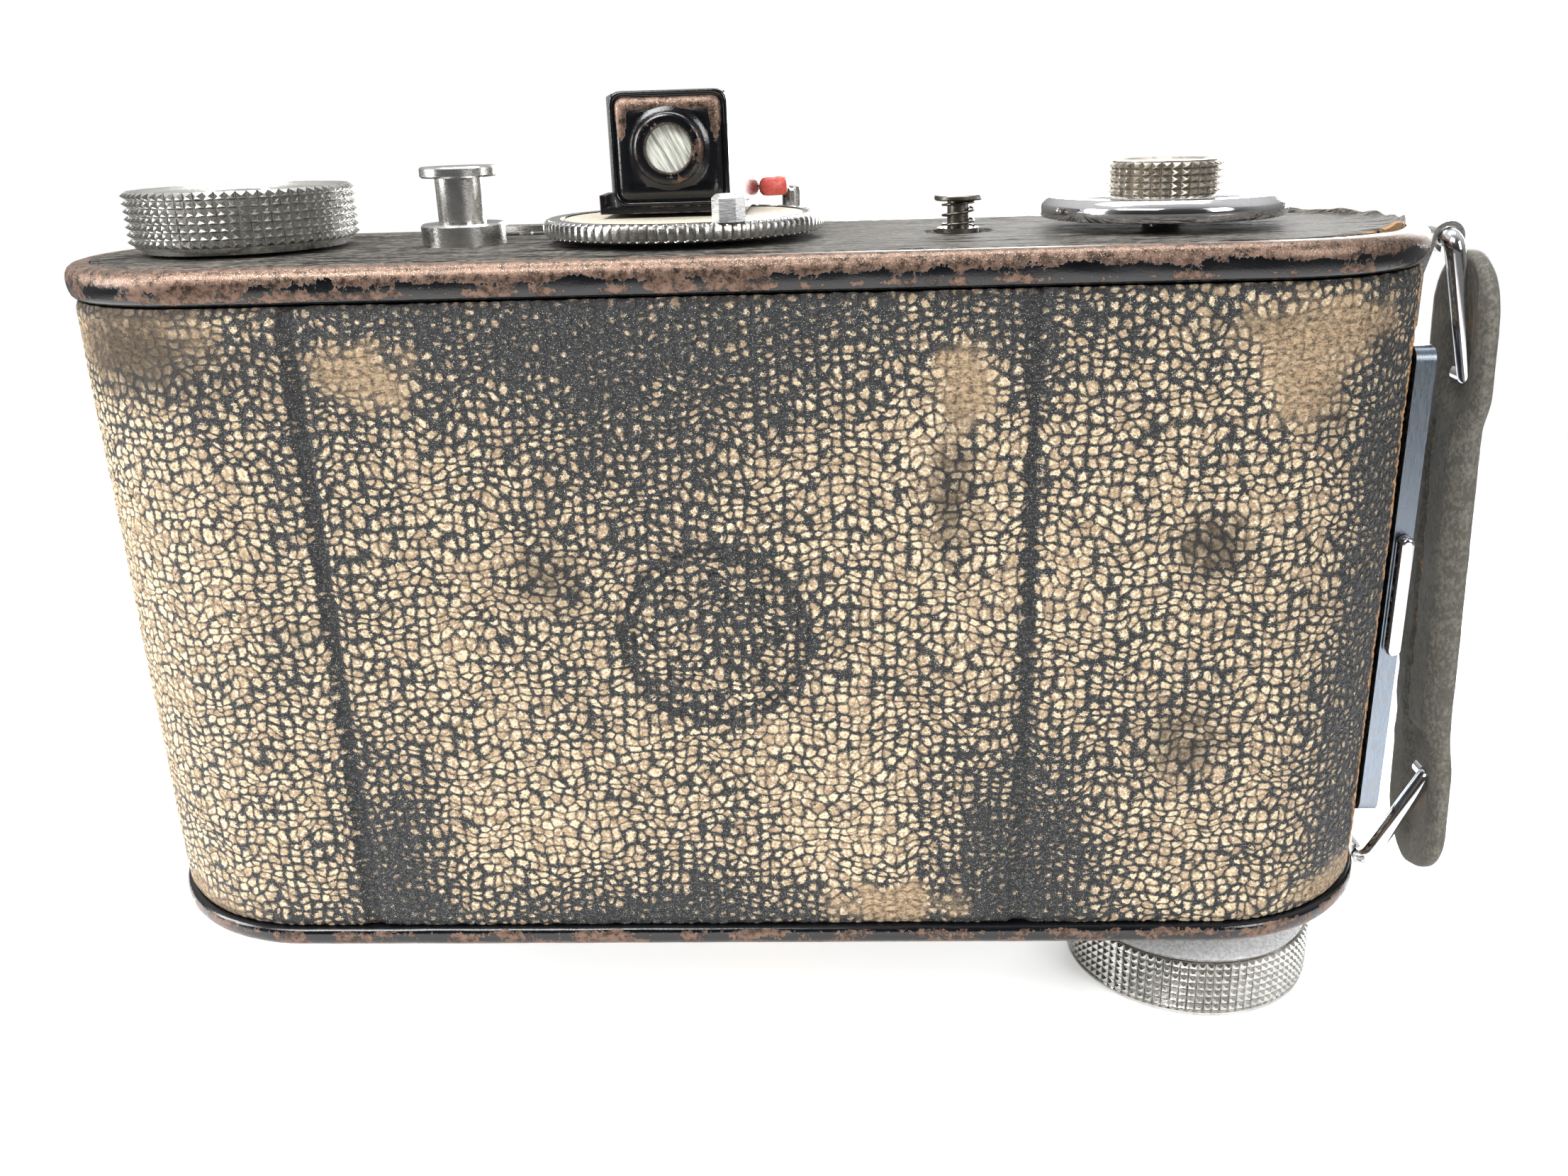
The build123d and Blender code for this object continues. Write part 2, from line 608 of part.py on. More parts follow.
def strap():
    """The leather strap with a lobe and a long slot at each end."""
    outline = Rectangle(2 * STRAP_HALF_MIDDLE, 2 * STRAP_HALF_LENGTH - 14)
    lobe = STRAP_HALF_LOBE
    near, far = STRAP_HALF_LENGTH - lobe, STRAP_HALF_LENGTH - 15
    for end in (-1, 1):
        for z in (near, far):
            outline += Pos(0, end * z) * Circle(lobe)
        outline += Pos(0, end * (near + far) / 2) * Rectangle(2 * lobe, near - far)
    for z in STRAP_SLOTS:
        outline -= Pos(0, z - STRAP_MID[1]) * RectangleRounded(SLOT_WIDTH, SLOT_HEIGHT, 0.8)
    blank = slab_x(outline, -STRAP_THICK / 2, STRAP_THICK / 2)
    return Pos(STRAP_MID[0], 0, STRAP_MID[1]) * Rot(0, -STRAP_LEAN, 0) * blank


# ---- lens standard ------------------------------------------------------------


def standard_plate():
    """The front plate with two side flanges that carry the struts."""
    part = slab_y(Pos(LENS_X, LENS_Z) * RectangleRounded(58, 54, 3), 17.0, 18.5)
    for side in (-1, 1):
        outline = Pos(13, LENS_Z - 0.5) * Rectangle(8.2, 51) - pin_slot(STANDARD_PIVOT_Y)
        near, far = LENS_X + side * 25.0, LENS_X + side * 25.7
        part += slab_x(outline, min(near, far), max(near, far))
        tip = LENS_X + side * 26.8
        pin = Pos(STANDARD_PIVOT_Y, STRUT_FOOT_Z) * Circle(PIN_R)
        part += slab_x(pin, min(near, tip), max(near, tip))
    return part - disc_y(LENS_X, LENS_Z, 10.4, 0, 40)


def strut_bar(foot_y, lean, x_in, x_out, pin_from, pin_to, hole):
    """One bar on each side of the bellows, hinged at its foot, with a pin at its head."""
    both = []
    for side in (-1, 1):
        outline = Rot(0, 0, 90) * SlotOverall(STRUT_LENGTH + STRUT_WIDTH, STRUT_WIDTH)
        outline -= Pos(0, -STRUT_LENGTH / 2) * Circle(PIN_R + RUNNING)
        head = Pos(0, STRUT_LENGTH / 2) * Circle(PIN_R)
        middle = Circle(PIN_R + 0.25) if hole else Circle(PIN_R)
        place = Pos(foot_y, STRUT_FOOT_Z) * Rot(0, 0, degrees(lean)) * Pos(0, STRUT_LENGTH / 2)
        spans = [(outline, x_in, x_out), (head, pin_from, pin_to)]
        if not hole:
            spans.append((middle, x_in - 1.1, x_in))
        bar = None
        for sketch, a, b in spans:
            near, far = LENS_X + side * a, LENS_X + side * b
            piece = slab_x(place * sketch, min(near, far), max(near, far))
            bar = piece if bar is None else bar + piece
        if hole:
            bar -= slab_x(place * middle, LENS_X - 40, LENS_X + 40)
        both.append(bar)
    return Compound(children=both)


def outer_struts():
    """Hinged on the body; their heads slide in the standard."""
    return strut_bar(BODY_PIVOT_Y, -STRUT_TILT, 27.1, 27.9, 25.0, 27.1, False)


def inner_struts():
    """Hinged on the standard; their heads slide in the body's brackets."""
    return strut_bar(STANDARD_PIVOT_Y, STRUT_TILT, 26.0, 26.8, 26.8, 28.5, True)


def shutter_housing():
    part = tube_y(10.4, 16.8, 18.5, 19.8)
    main = disc_y(LENS_X, LENS_Z, 21, 19.8, 24.6)
    main = fillet(main.edges().group_by(Axis.Y)[-1], 0.8)
    part += main - disc_y(LENS_X, LENS_Z, 10.4, 0, 40)
    for angle in (COCKING_ANGLE, RELEASE_ANGLE):
        x, z = around_lens(LEVER_RADIUS, angle)
        part += disc_y(x, z, 0.7, 24.5, 25.9)
    return part


def lens_barrel():
    return tube_y(8.5, 10.4, 13.0, 29.5)


def front_bezel():
    part = disc_y(LENS_X, LENS_Z, 12.0, 29.5, 31.8)
    return part - disc_y(LENS_X, LENS_Z, 8.5, 0, 40)


def lens_glass(y_edge, y_crown, thickness):
    """A plano-convex glass, its crown at y_crown."""
    radius = 8.5
    sag = abs(y_crown - y_edge)
    sphere_r = (radius**2 + sag**2) / (2 * sag)
    towards = 1 if y_crown > y_edge else -1
    y0, y1 = sorted((y_edge - towards * thickness, y_crown))
    blank = disc_y(LENS_X, LENS_Z, radius, y0, y1)
    return blank & (Pos(LENS_X, y_crown - towards * sphere_r, LENS_Z) * Sphere(sphere_r))


def focus_ring():
    part = disc_y(LENS_X, LENS_Z, 14.5, 26.8, 29.3)
    part = chamfer(part.edges(), 0.3)
    return part - disc_y(LENS_X, LENS_Z, 10.4 + RUNNING, 0, 40)


def speed_ring():
    part = disc_y(LENS_X, LENS_Z, 16.5, 24.8, 26.4)
    part = chamfer(part.edges().group_by(Axis.Y)[-1], 0.4)
    return part - disc_y(LENS_X, LENS_Z, 10.4 + RUNNING, 0, 40)


def aperture_ring():
    """A ring behind the shutter housing with one pointer tab."""
    tab = Pos(LENS_X, LENS_Z) * Rot(0, 0, 215) * (Pos(22.5, 0) * RectangleRounded(4.4, 2.4, 0.8))
    ring = Pos(LENS_X, LENS_Z) * (Circle(21.4) - Circle(16.8 + RUNNING))
    return slab_y(ring + tab, 18.75, 19.6)


def front_lever(angle, length):
    """A small lever on the shutter's face, pointing away from the lens axis."""
    x, z = around_lens(LEVER_RADIUS, angle)
    hub = Circle(1.5) - Circle(0.7 + RUNNING)
    arm = Pos(1.3 + length / 2, 0) * RectangleRounded(length, 1.6, 0.7)
    outline = Pos(x, z) * Rot(0, 0, angle) * (hub + arm - Circle(0.7 + RUNNING))
    return slab_y(outline, 24.8, 25.6)


NODES = {
    "chassis": chassis,
    "base_deck": base_deck,
    "front_shell": front_shell,
    "front_leather": front_leather,
    "opening_trim": opening_trim,
    "top_cap": top_cap,
    "top_leather": top_leather,
    "bottom_cap": bottom_cap,
    "bottom_leather": bottom_leather,
    "tripod_bush": tripod_bush,
    "strut_brackets": strut_brackets,
    "bellows": bellows,
    "hinge_pin": lambda: disc(HINGE_X, HINGE_Y, HINGE_PIN_R, KNUCKLES[0][0], KNUCKLES[2][1]),
    "back_cover": back_cover,
    "back_leather": back_leather,
    "pressure_plate": pressure_plate,
    "leaf_springs": leaf_springs,
    "advance_knob": advance_knob,
    "advance_shaft": advance_shaft,
    "advance_gear": advance_gear,
    "takeup_spool": takeup_spool,
    "sprocket_roller": sprocket_roller,
    "sprocket_gear": sprocket_gear,
    "rewind_knob": rewind_knob,
    "rewind_shaft": rewind_shaft,
    "counter_dial": counter_dial,
    "counter_pin": counter_pin,
    "release_button": release_button,
    "release_collar": release_collar,
    "release_spring": lambda: coil_spring(RELEASE_X, 1.4, 2.1, 60.2, 66.6),
    "transport_button": transport_button,
    "transport_bush": transport_bush,
    "transport_spring": lambda: coil_spring(TRANSPORT_X, 1.25, 1.75, 68.35, 70.9),
    "scale_disc": scale_disc,
    "scale_grip": scale_grip,
    "front_catch": front_catch,
    "signal_pointer": signal_pointer,
    "finder_housing": finder_housing,
    "finder_rear_cap": finder_rear_cap,
    "eyepiece_ring": eyepiece_ring,
    "finder_lenses": finder_lenses,
    "finder_foot": finder_foot,
    "side_plate": side_plate,
    "latch_slider": latch_slider,
    "strap_lugs": strap_lugs,
    "link_top": lambda: link(LUG_TOP, LINK_TOP_FOOT),
    "link_bottom": lambda: link(LUG_LOW, LINK_LOW_FOOT),
    "strap": strap,
    "standard_plate": standard_plate,
    "outer_struts": outer_struts,
    "inner_struts": inner_struts,
    "shutter_housing": shutter_housing,
    "lens_barrel": lens_barrel,
    "front_bezel": front_bezel,
    "lens_elements": lambda: Compound(children=[lens_glass(28.0, 29.3, 1.2), lens_glass(14.6, 13.6, 1.0)]),
    "focus_ring": focus_ring,
    "speed_ring": speed_ring,
    "aperture_ring": aperture_ring,
    "cocking_lever": lambda: front_lever(COCKING_ANGLE, 6.0),
    "release_lever": lambda: front_lever(RELEASE_ANGLE, 4.5),
}

os.makedirs("parts", exist_ok=True)
for name, make in NODES.items():
    export_step(make(), f"parts/{name}.step")
print(len(NODES), "nodes")
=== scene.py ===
from math import asin, cos, pi, radians, sin, sqrt

import bmesh
import bpy
import numpy as np
from mathutils import Matrix, Vector, noise


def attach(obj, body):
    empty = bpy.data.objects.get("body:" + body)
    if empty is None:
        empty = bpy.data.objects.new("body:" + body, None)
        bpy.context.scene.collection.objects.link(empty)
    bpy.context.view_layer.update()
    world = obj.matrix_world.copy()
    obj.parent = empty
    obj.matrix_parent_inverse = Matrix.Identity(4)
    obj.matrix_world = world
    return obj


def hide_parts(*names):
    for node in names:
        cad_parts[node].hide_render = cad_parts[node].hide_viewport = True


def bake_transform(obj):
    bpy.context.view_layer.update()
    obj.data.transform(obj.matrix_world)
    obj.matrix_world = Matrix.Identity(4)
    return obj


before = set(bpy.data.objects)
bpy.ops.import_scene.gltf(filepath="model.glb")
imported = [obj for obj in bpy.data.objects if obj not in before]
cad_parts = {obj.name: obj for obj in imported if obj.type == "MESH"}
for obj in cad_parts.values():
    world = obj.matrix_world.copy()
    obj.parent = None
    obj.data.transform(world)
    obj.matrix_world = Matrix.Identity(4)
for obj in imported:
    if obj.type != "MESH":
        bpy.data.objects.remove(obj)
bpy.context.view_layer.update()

# All sizes below are millimetres in the frame of the part; MM turns them into Blender's metres.
MM = 0.001
STRAIGHT = 45.9
WALL_R = 18.6
WALL_LOW, WALL_HIGH = 2.3, 64.6
LEATHER_THICK, PEBBLE_RISE = 0.6, 0.13
SEAMS = (-38.45, 26.73)
LENS_X, LENS_Z = -5.9, 34.0
FINDER_X, FINDER_Z = -5.9, 76.45
DIAL_X, TRANSPORT_X, SCALE_X, REWIND_X = -5.2, 21.3, 40.75, 48.3
FLOOR_Z = -13.3

# The leathers of the wall, in millimetres along it from the middle and in height.
BACK_LEFT, BACK_RIGHT = -78.6, 66.9
FRONT_LEFT, FRONT_RIGHT = -67.3, 79.46
OPENING = (-36.9, 25.1, 5.0, 63.0)
ROSETTE = (-2.2, 33.4)

# The strap leans a little; its slots and its seam are given along and across it.
STRAP_X, STRAP_Z, STRAP_HALF, STRAP_LEAN = 71.83, 31.5, 33.5, radians(2.37)
STRAP_NARROW, STRAP_WIDE, STRAP_THICK = 4.9, 6.2, 1.05
STRAP_SLOTS, SEAM_Y = (-23.45, 25.8), 0.6
SLOT_MIDDLE, SLOT_HALF_WIDE, SLOT_HALF_LONG = -1.25, 2.1, 6.4


# ---------------------------------------------------------------- node helper


class Graph:
    """Short calls that add nodes to a shader or geometry tree."""

    def __init__(self, tree):
        self.tree = tree

    def node(self, kind, inputs=None, out=0, **props):
        """Adds a node, links or sets its inputs, and gives one of its outputs."""
        made = self.tree.nodes.new(kind)
        for key, value in props.items():
            setattr(made, key, value)
        for key, value in (inputs or {}).items():
            if isinstance(value, bpy.types.NodeSocket):
                self.tree.links.new(value, made.inputs[key])
            else:
                made.inputs[key].default_value = value
        return made.outputs[out] if len(made.outputs) else None

    def math(self, operation, *values, clamp=False):
        return self.node("ShaderNodeMath", dict(enumerate(values)), operation=operation, use_clamp=clamp)

    def add(self, *values):
        total = values[0]
        for value in values[1:]:
            total = self.math("ADD", total, value)
        return total

    def times(self, a, b):
        return self.math("MULTIPLY", a, b)

    def less(self, a, b):
        return self.math("SUBTRACT", a, b)

    def vector(self, operation, a, b):
        return self.node("ShaderNodeVectorMath", {0: a, 1: b}, operation=operation)

    def step(self, value, low, high, to_low=0.0, to_high=1.0):
        """A smooth step from to_low at low to to_high at high."""
        values = {0: value, 1: low, 2: high, 3: to_low, 4: to_high}
        return self.node("ShaderNodeMapRange", values, interpolation_type="SMOOTHSTEP")

    def mix(self, share, a, b):
        return self.node("ShaderNodeMix", {0: share, 6: a, 7: b}, out=2, data_type="RGBA")

    def mix_value(self, share, a, b):
        return self.node("ShaderNodeMix", {0: share, 2: a, 3: b}, data_type="FLOAT")

    def noise(self, vector, scale, detail=3.0, rough=0.55):
        look = {"Vector": vector, "Scale": scale, "Detail": detail, "Roughness": rough}
        return self.node("ShaderNodeTexNoise", look)

    def cells(self, vector, scale):
        return self.node("ShaderNodeTexVoronoi", {"Vector": vector, "Scale": scale, "Randomness": 1.0})

    def stretch(self, vector, x, y, z):
        return self.vector("MULTIPLY", vector, (x, y, z))

    def attribute(self, name):
        return self.node("ShaderNodeAttribute", out=2, attribute_name=name)


def srgb(red, green, blue):
    """A linear colour from 8-bit screen values."""

    def linear(value):
        value /= 255
        return value / 12.92 if value <= 0.04045 else ((value + 0.055) / 1.055) ** 2.4

    return (linear(red), linear(green), linear(blue), 1.0)


class Material(Graph):
    """A material whose shader inputs are set by name; position is in millimetres."""

    def __init__(self, name):
        self.data = bpy.data.materials.new(name)
        self.data.use_nodes = True
        super().__init__(self.data.node_tree)
        self.tree.nodes.clear()
        self.shader = self.tree.nodes.new("ShaderNodeBsdfPrincipled")
        output = self.tree.nodes.new("ShaderNodeOutputMaterial")
        self.tree.links.new(self.shader.outputs[0], output.inputs[0])
        place = self.node("ShaderNodeTexCoord", out=3)
        self.position = self.vector("MULTIPLY", place, (1000, 1000, 1000))

    def set(self, **values):
        for key, value in values.items():
            socket = self.shader.inputs[key.replace("_", " ")]
            if isinstance(value, bpy.types.NodeSocket):
                self.tree.links.new(value, socket)
            else:
                socket.default_value = value
        return self

    def bump(self, height, millimetres, strength=1.0):
        """Height is 0 to 1; millimetres is how high 1 stands."""
        look = {"Strength": strength, "Distance": millimetres * MM, "Height": height}
        return self.set(Normal=self.node("ShaderNodeBump", look))

    def edges(self, radius):
        """1 on a sharp or rounded edge, 0 on flat ground."""
        soft = self.node("ShaderNodeBevel", {"Radius": radius * MM}, samples=4)
        hard = self.node("ShaderNodeNewGeometry", out=1)
        dot = self.node("ShaderNodeVectorMath", {0: soft, 1: hard}, out=1, operation="DOT_PRODUCT")
        return self.math("SUBTRACT", 1.0, dot)


def split(graph, vector):
    """The X, Y and Z of a vector."""
    made = graph.tree.nodes.new("ShaderNodeSeparateXYZ")
    graph.tree.links.new(vector, made.inputs[0])
    return made.outputs


def on_wall(graph, position, front):
    """Unrolls the body's wall: millimetres along it and height, as a vector."""
    x, y, z = split(graph, position)
    middle = graph.math("MINIMUM", graph.math("MAXIMUM", x, -STRAIGHT), STRAIGHT)
    angle = graph.math("ARCTAN2", graph.less(x, middle), graph.times(y, 1.0 if front else -1.0))
    along = graph.add(middle, graph.times(angle, WALL_R))
    return graph.node("ShaderNodeCombineXYZ", {0: along, 1: z, 2: 0.0})


# ---------------------------------------------------------------- materials

TAN, TAN_DARK, TAN_PALE = srgb(212, 193, 160), srgb(152, 130, 104), srgb(252, 243, 219)
INK, INK_GREY = srgb(33, 34, 35), srgb(84, 84, 83)
SUEDE, SUEDE_DARK = srgb(172, 148, 118), srgb(64, 53, 43)
PEBBLE_WIDE, PEBBLE_HIGH = 1.12, 0.94


def pebbles(graph, wall):
    """The grain's pebbles in wavy rows: how far a point is from its pebble's middle and from the nearest
    crease, both in pebble widths, and a number per pebble."""
    other = graph.stretch(wall, 1, -1, 1)
    wave = {0: graph.noise(wall, 0.45, 2.0), 1: graph.noise(wall, 0.16, 2.0), 2: 0.0}
    wave = graph.node("ShaderNodeCombineXYZ", wave)
    rows = graph.vector("ADD", wall, graph.vector("MULTIPLY", wave, (1.2, 4.2, 0.0)))
    shake = {0: graph.noise(wall, 2.1, 4.0, 0.8), 1: graph.noise(other, 2.1, 4.0, 0.8), 2: 0.0}
    shake = graph.node("ShaderNodeCombineXYZ", shake)
    rows = graph.vector("ADD", rows, graph.vector("MULTIPLY", shake, (0.85, 0.6, 0.0)))
    cells = graph.stretch(rows, 1 / PEBBLE_WIDE, 1 / PEBBLE_HIGH, 1.0)
    look = {"Vector": cells, "Scale": 1.0, "Randomness": 0.66}
    away, crease = (
        graph.node("ShaderNodeTexVoronoi", look, voronoi_dimensions="2D", feature=feature)
        for feature in ("F1", "DISTANCE_TO_EDGE")
    )
    return away, crease, split(graph, away.node.outputs["Color"])[0]


def pebble_height(graph, wall):
    """1 on top of a pebble, 0 in the creases."""
    return graph.step(pebbles(graph, wall)[1], 0.0, 0.26)


def grained_leather(name, front):
    """Black pebbled leather, rubbed to tan where the attribute wear is high and to suede where bald is."""
    m = Material(name)
    wall = on_wall(m, m.position, front)
    away, crease, chance = pebbles(m, wall)
    # on the back, the wear attribute also holds painted shade: it is lowered towards the right end
    wear = m.attribute("wear")
    cloud = m.times(m.less(m.noise(wall, 0.42, 5.0, 0.7), 0.5), 1.1)
    bald = m.step(m.add(m.attribute("bald"), cloud), 0.28, 0.85)
    patch = m.less(m.noise(wall, 0.24, 3.0, 0.6), 0.5)
    ragged = m.less(m.noise(wall, 3.4, 5.0, 0.9), 0.5)
    reach = m.add(m.times(wear, 0.56), m.times(patch, 0.3), m.times(bald, 0.4))
    edge_of_island = m.add(away, m.times(ragged, 2.1), m.times(m.less(chance, 0.5), 0.3))
    island = m.step(m.less(reach, edge_of_island), -0.09, 0.09)
    narrow = m.less(m.times(m.add(wear, patch), 0.11), 0.145)
    open_crease = m.step(m.add(crease, narrow, m.times(ragged, 1.3)), -0.05, 0.06)
    rubbed = m.times(island, open_crease)
    tone = m.step(m.add(m.noise(wall, 0.75, 4.0, 0.65), m.times(m.less(chance, 0.5), 0.25)), 0.34, 0.66)
    tan = m.mix(tone, TAN_DARK, TAN)
    tan = m.mix(m.step(m.noise(wall, 2.6, 3.0, 0.75), 0.48, 0.72), tan, TAN_PALE)
    pores = m.times(m.step(m.cells(wall, 2.6), 0.22, 0.1), m.step(m.noise(wall, 1.2, 2.0), 0.44, 0.56))
    tan = m.mix(m.times(m.step(away, 0.16, 0.06), 0.5), tan, srgb(124, 100, 76))
    tan = m.mix(m.times(pores, 0.8), tan, srgb(84, 66, 50))
    tan = m.mix(m.times(m.step(m.add(crease, narrow), 0.22, 0.04), 0.55), tan, TAN_DARK)
    grit = m.noise(wall, 3.6, 4.0, 0.85)
    tan = m.mix(m.times(m.step(grit, 0.53, 0.62), 0.6), tan, srgb(96, 78, 60))
    ink = m.mix(m.step(grit, 0.5, 0.64), INK, INK_GREY)
    # fine near-white specks in the black: painted glints on the grain
    ink = m.mix(m.step(m.noise(wall, 9.0, 1.0, 0.5), 0.68, 0.72), ink, srgb(208, 210, 208))
    colour = m.mix(rubbed, ink, tan)
    nap = m.noise(m.stretch(wall, 1.0, 1.6, 1.0), 1.5, 6.0, 0.85)
    suede = m.mix(m.step(nap, 0.4, 0.58), SUEDE_DARK, SUEDE)
    colour = m.mix(m.times(bald, 0.85), colour, suede)
    # dark where stains lie, and painted shade in bands along the rims
    colour = m.mix(m.times(m.step(m.attribute("stains_and_rim_shade"), 0.05, 1.1), 0.82), colour, srgb(36, 31, 28))
    raw = m.mix(m.step(m.noise(wall, 2.4, 4.0, 0.7), 0.4, 0.62), srgb(122, 88, 60), srgb(206, 158, 108))
    colour = m.mix(m.times(m.step(m.attribute("raw"), 0.2, 0.6), 0.95), colour, raw)
    m.set(Base_Color=colour, Roughness=m.step(rubbed, 0.0, 1.0, 0.52, 0.9), Specular_IOR_Level=0.25)
    fine = m.times(m.noise(wall, 8.0, 3.0, 0.75), 0.5)
    return m.bump(m.add(m.step(crease, 0.0, 0.2), fine), 0.10, 0.9).data


BRASS_WORN, BRASS_DARK, BRASS_PALE = srgb(116, 93, 80), srgb(50, 38, 31), srgb(196, 176, 156)


def worn_enamel(name, worn=0.5, own_edges=6.0, least=0.0):
    """Gloss black enamel rubbed to brown brass where the edge attribute or the shape's own edges are high."""
    m = Material(name)
    edge = m.math("MAXIMUM", m.attribute("edge"), m.add(m.times(m.edges(0.3), own_edges), least), clamp=True)
    chips = m.add(m.noise(m.position, 0.34, 5.0, 0.62), m.times(m.noise(m.position, 2.2, 4.0, 0.7), 0.4))
    chips = m.add(chips, m.times(m.less(m.noise(m.position, 0.09, 2.0), 0.5), 0.5))
    bare = m.step(m.add(m.times(edge, worn), m.times(chips, 0.6)), 0.70, 0.72)
    grime = m.noise(m.position, 1.3, 6.0, 0.75)
    brass = m.mix(m.step(grime, 0.36, 0.6), BRASS_DARK, BRASS_WORN)
    glint = m.times(m.step(m.noise(m.position, 8.0, 3.0, 0.8), 0.52, 0.7), m.step(edge, 0.5, 1.0))
    brass = m.mix(glint, brass, BRASS_PALE)
    black = m.mix(m.step(m.noise(m.position, 7.0, 3.0, 0.8), 0.66, 0.8), srgb(8, 9, 12), srgb(60, 60, 62))
    rough = m.mix_value(bare, m.step(grime, 0.3, 0.8, 0.1, 0.26), m.step(grime, 0.3, 0.8, 0.32, 0.6))
    m.set(Base_Color=m.mix(bare, black, brass), Metallic=m.times(bare, 0.7), Roughness=rough)
    raised = m.add(m.times(bare, -0.7), m.times(m.noise(m.position, 6.0, 3.0), 0.35))
    return m.bump(raised, 0.05, 0.8).data


def nickel(name, base=(206, 205, 202), dirt=(92, 74, 56), rough=0.24, brushed=(1, 1, 14), tarnish=0.35):
    """Plated metal with fine tool marks; the attribute cavity gathers brown dirt."""
    m = Material(name)
    lines = m.noise(m.stretch(m.position, *brushed), 2.2, 4.0, 0.7)
    cloud = m.noise(m.position, 0.9, 4.0, 0.6)
    dirty = m.step(m.add(m.attribute("cavity"), m.times(m.less(cloud, 0.5), 0.8)), 0.68, 1.1)
    dull = m.times(m.step(cloud, 0.4, 0.75), m.step(m.attribute("cavity"), -0.5, 0.0, 0.2, 1.0))
    colour = m.mix(m.times(dull, tarnish), srgb(*base), srgb(138, 132, 124))
    colour = m.mix(m.times(m.step(lines, 0.4, 0.7), 0.35), colour, srgb(120, 119, 118))
    colour = m.mix(m.times(dirty, 0.85), colour, srgb(*dirt))
    rough = m.add(m.step(lines, 0.3, 0.8, rough * 0.7, rough * 1.5), m.times(dirty, 0.3))
    m.set(Base_Color=colour, Metallic=m.mix_value(dirty, 1.0, 0.45), Roughness=rough)
    return m.bump(lines, 0.006, 0.6).data


def smooth_metal(name, colour, rough, spots=0.3):
    """Polished metal with faint clouds and scratches."""
    m = Material(name)
    cloud = m.noise(m.position, 1.3, 4.0, 0.65)
    scratch = m.noise(m.stretch(m.position, 0.4, 0.4, 5.0), 2.5, 4.0, 0.7)
    shade = m.mix(m.times(m.step(cloud, 0.45, 0.75), spots), srgb(*colour), srgb(*(c * 0.55 for c in colour)))
    m.set(Base_Color=shade, Metallic=1.0, Roughness=m.step(scratch, 0.3, 0.8, rough * 0.6, rough * 1.5))
    return m.bump(scratch, 0.004, 0.5).data


def dark_leather(name, ink, pale, streak, grain=0.06, cracks=0.0):
    """Thin dark leather with stretched fibres, pale where rubbed, and, if asked, long cracks along X."""
    m = Material(name)
    fibres = m.noise(m.stretch(m.position, *streak), 2.4, 5.0, 0.72)
    spots = m.cells(m.stretch(m.position, *streak), 2.2)
    rubbed = m.step(m.add(fibres, m.times(m.noise(m.position, 0.5, 3.0), 0.35)), 0.58, 0.8)
    raw = m.step(m.attribute("raw"), 0.25, 0.9)
    colour = m.mix(rubbed, srgb(*ink), srgb(*pale))
    colour = m.mix(raw, colour, m.mix(fibres, srgb(92, 66, 44), srgb(186, 150, 108)))
    line = m.math("ABSOLUTE", m.less(m.noise(m.stretch(m.position, 0.04, 0.55, 0.55), 1.0, 2.0), 0.5))
    crack = m.times(m.step(line, 0.024, 0.012), cracks)
    colour = m.mix(crack, colour, (0.003, 0.003, 0.003, 1))
    m.set(Base_Color=colour, Roughness=m.step(rubbed, 0.0, 1.0, 0.6, 0.95), Specular_IOR_Level=0.12)
    return m.bump(m.add(m.times(fibres, 0.7), m.times(spots, 0.5), m.times(crack, -1.5)), grain, 0.9).data


def smeared_lens(name):
    """Clear glass with faint smears."""
    m = Material(name)
    smear = m.noise(m.stretch(m.position, 1.2, 1.0, 0.3), 1.4, 4.0, 0.7)
    m.set(Base_Color=srgb(235, 240, 242), Transmission_Weight=1.0, IOR=1.5)
    m.set(Roughness=m.step(smear, 0.4, 0.8, 0.03, 0.28))
    return m.data


def finder_glass(name):
    """Old finder glass: pale and hazy behind, with slanting wipe marks, and coloured dark in front as painted
    shade for the dark inside seen through it.
    """
    m = Material(name)
    x, y, z = split(m, m.position)
    slant = {0: m.add(m.times(x, 3.0), m.times(z, 1.6)), 1: m.times(y, 0.2), 2: m.times(z, 0.25)}
    wipe = m.noise(m.node("ShaderNodeCombineXYZ", slant), 0.9, 4.0, 0.7)
    shade = m.mix(m.step(wipe, 0.36, 0.66), srgb(132, 134, 126), srgb(226, 227, 217))
    # painted shade: the front glass is coloured dark blue-grey for the dark inside seen through it
    front = m.step(y, 0.0, 6.0)
    shade = m.mix(front, shade, srgb(46, 54, 58))
    m.set(Base_Color=shade, Roughness=m.step(wipe, 0.3, 0.7, 0.08, 0.3))
    m.set(Specular_IOR_Level=0.6, Coat_Weight=0.5)
    return m.data


def paint(name, colour, rough=0.4, chips=0.12):
    """An even finish, a little cloudy, that chips along its edges."""
    m = Material(name)
    cloud = m.noise(m.position, 3.0, 4.0, 0.7)
    worn = m.step(m.add(cloud, m.times(m.edges(0.2), chips * 10)), 0.72, 0.8)
    shade = m.mix(m.step(cloud, 0.3, 0.7), srgb(*colour), srgb(*(c * 0.8 for c in colour)))
    shade = m.mix(worn, shade, srgb(120, 108, 98))
    m.set(Base_Color=shade, Roughness=m.step(cloud, 0.3, 0.7, rough * 0.8, rough * 1.3))
    return m.bump(cloud, 0.01, 0.5).data


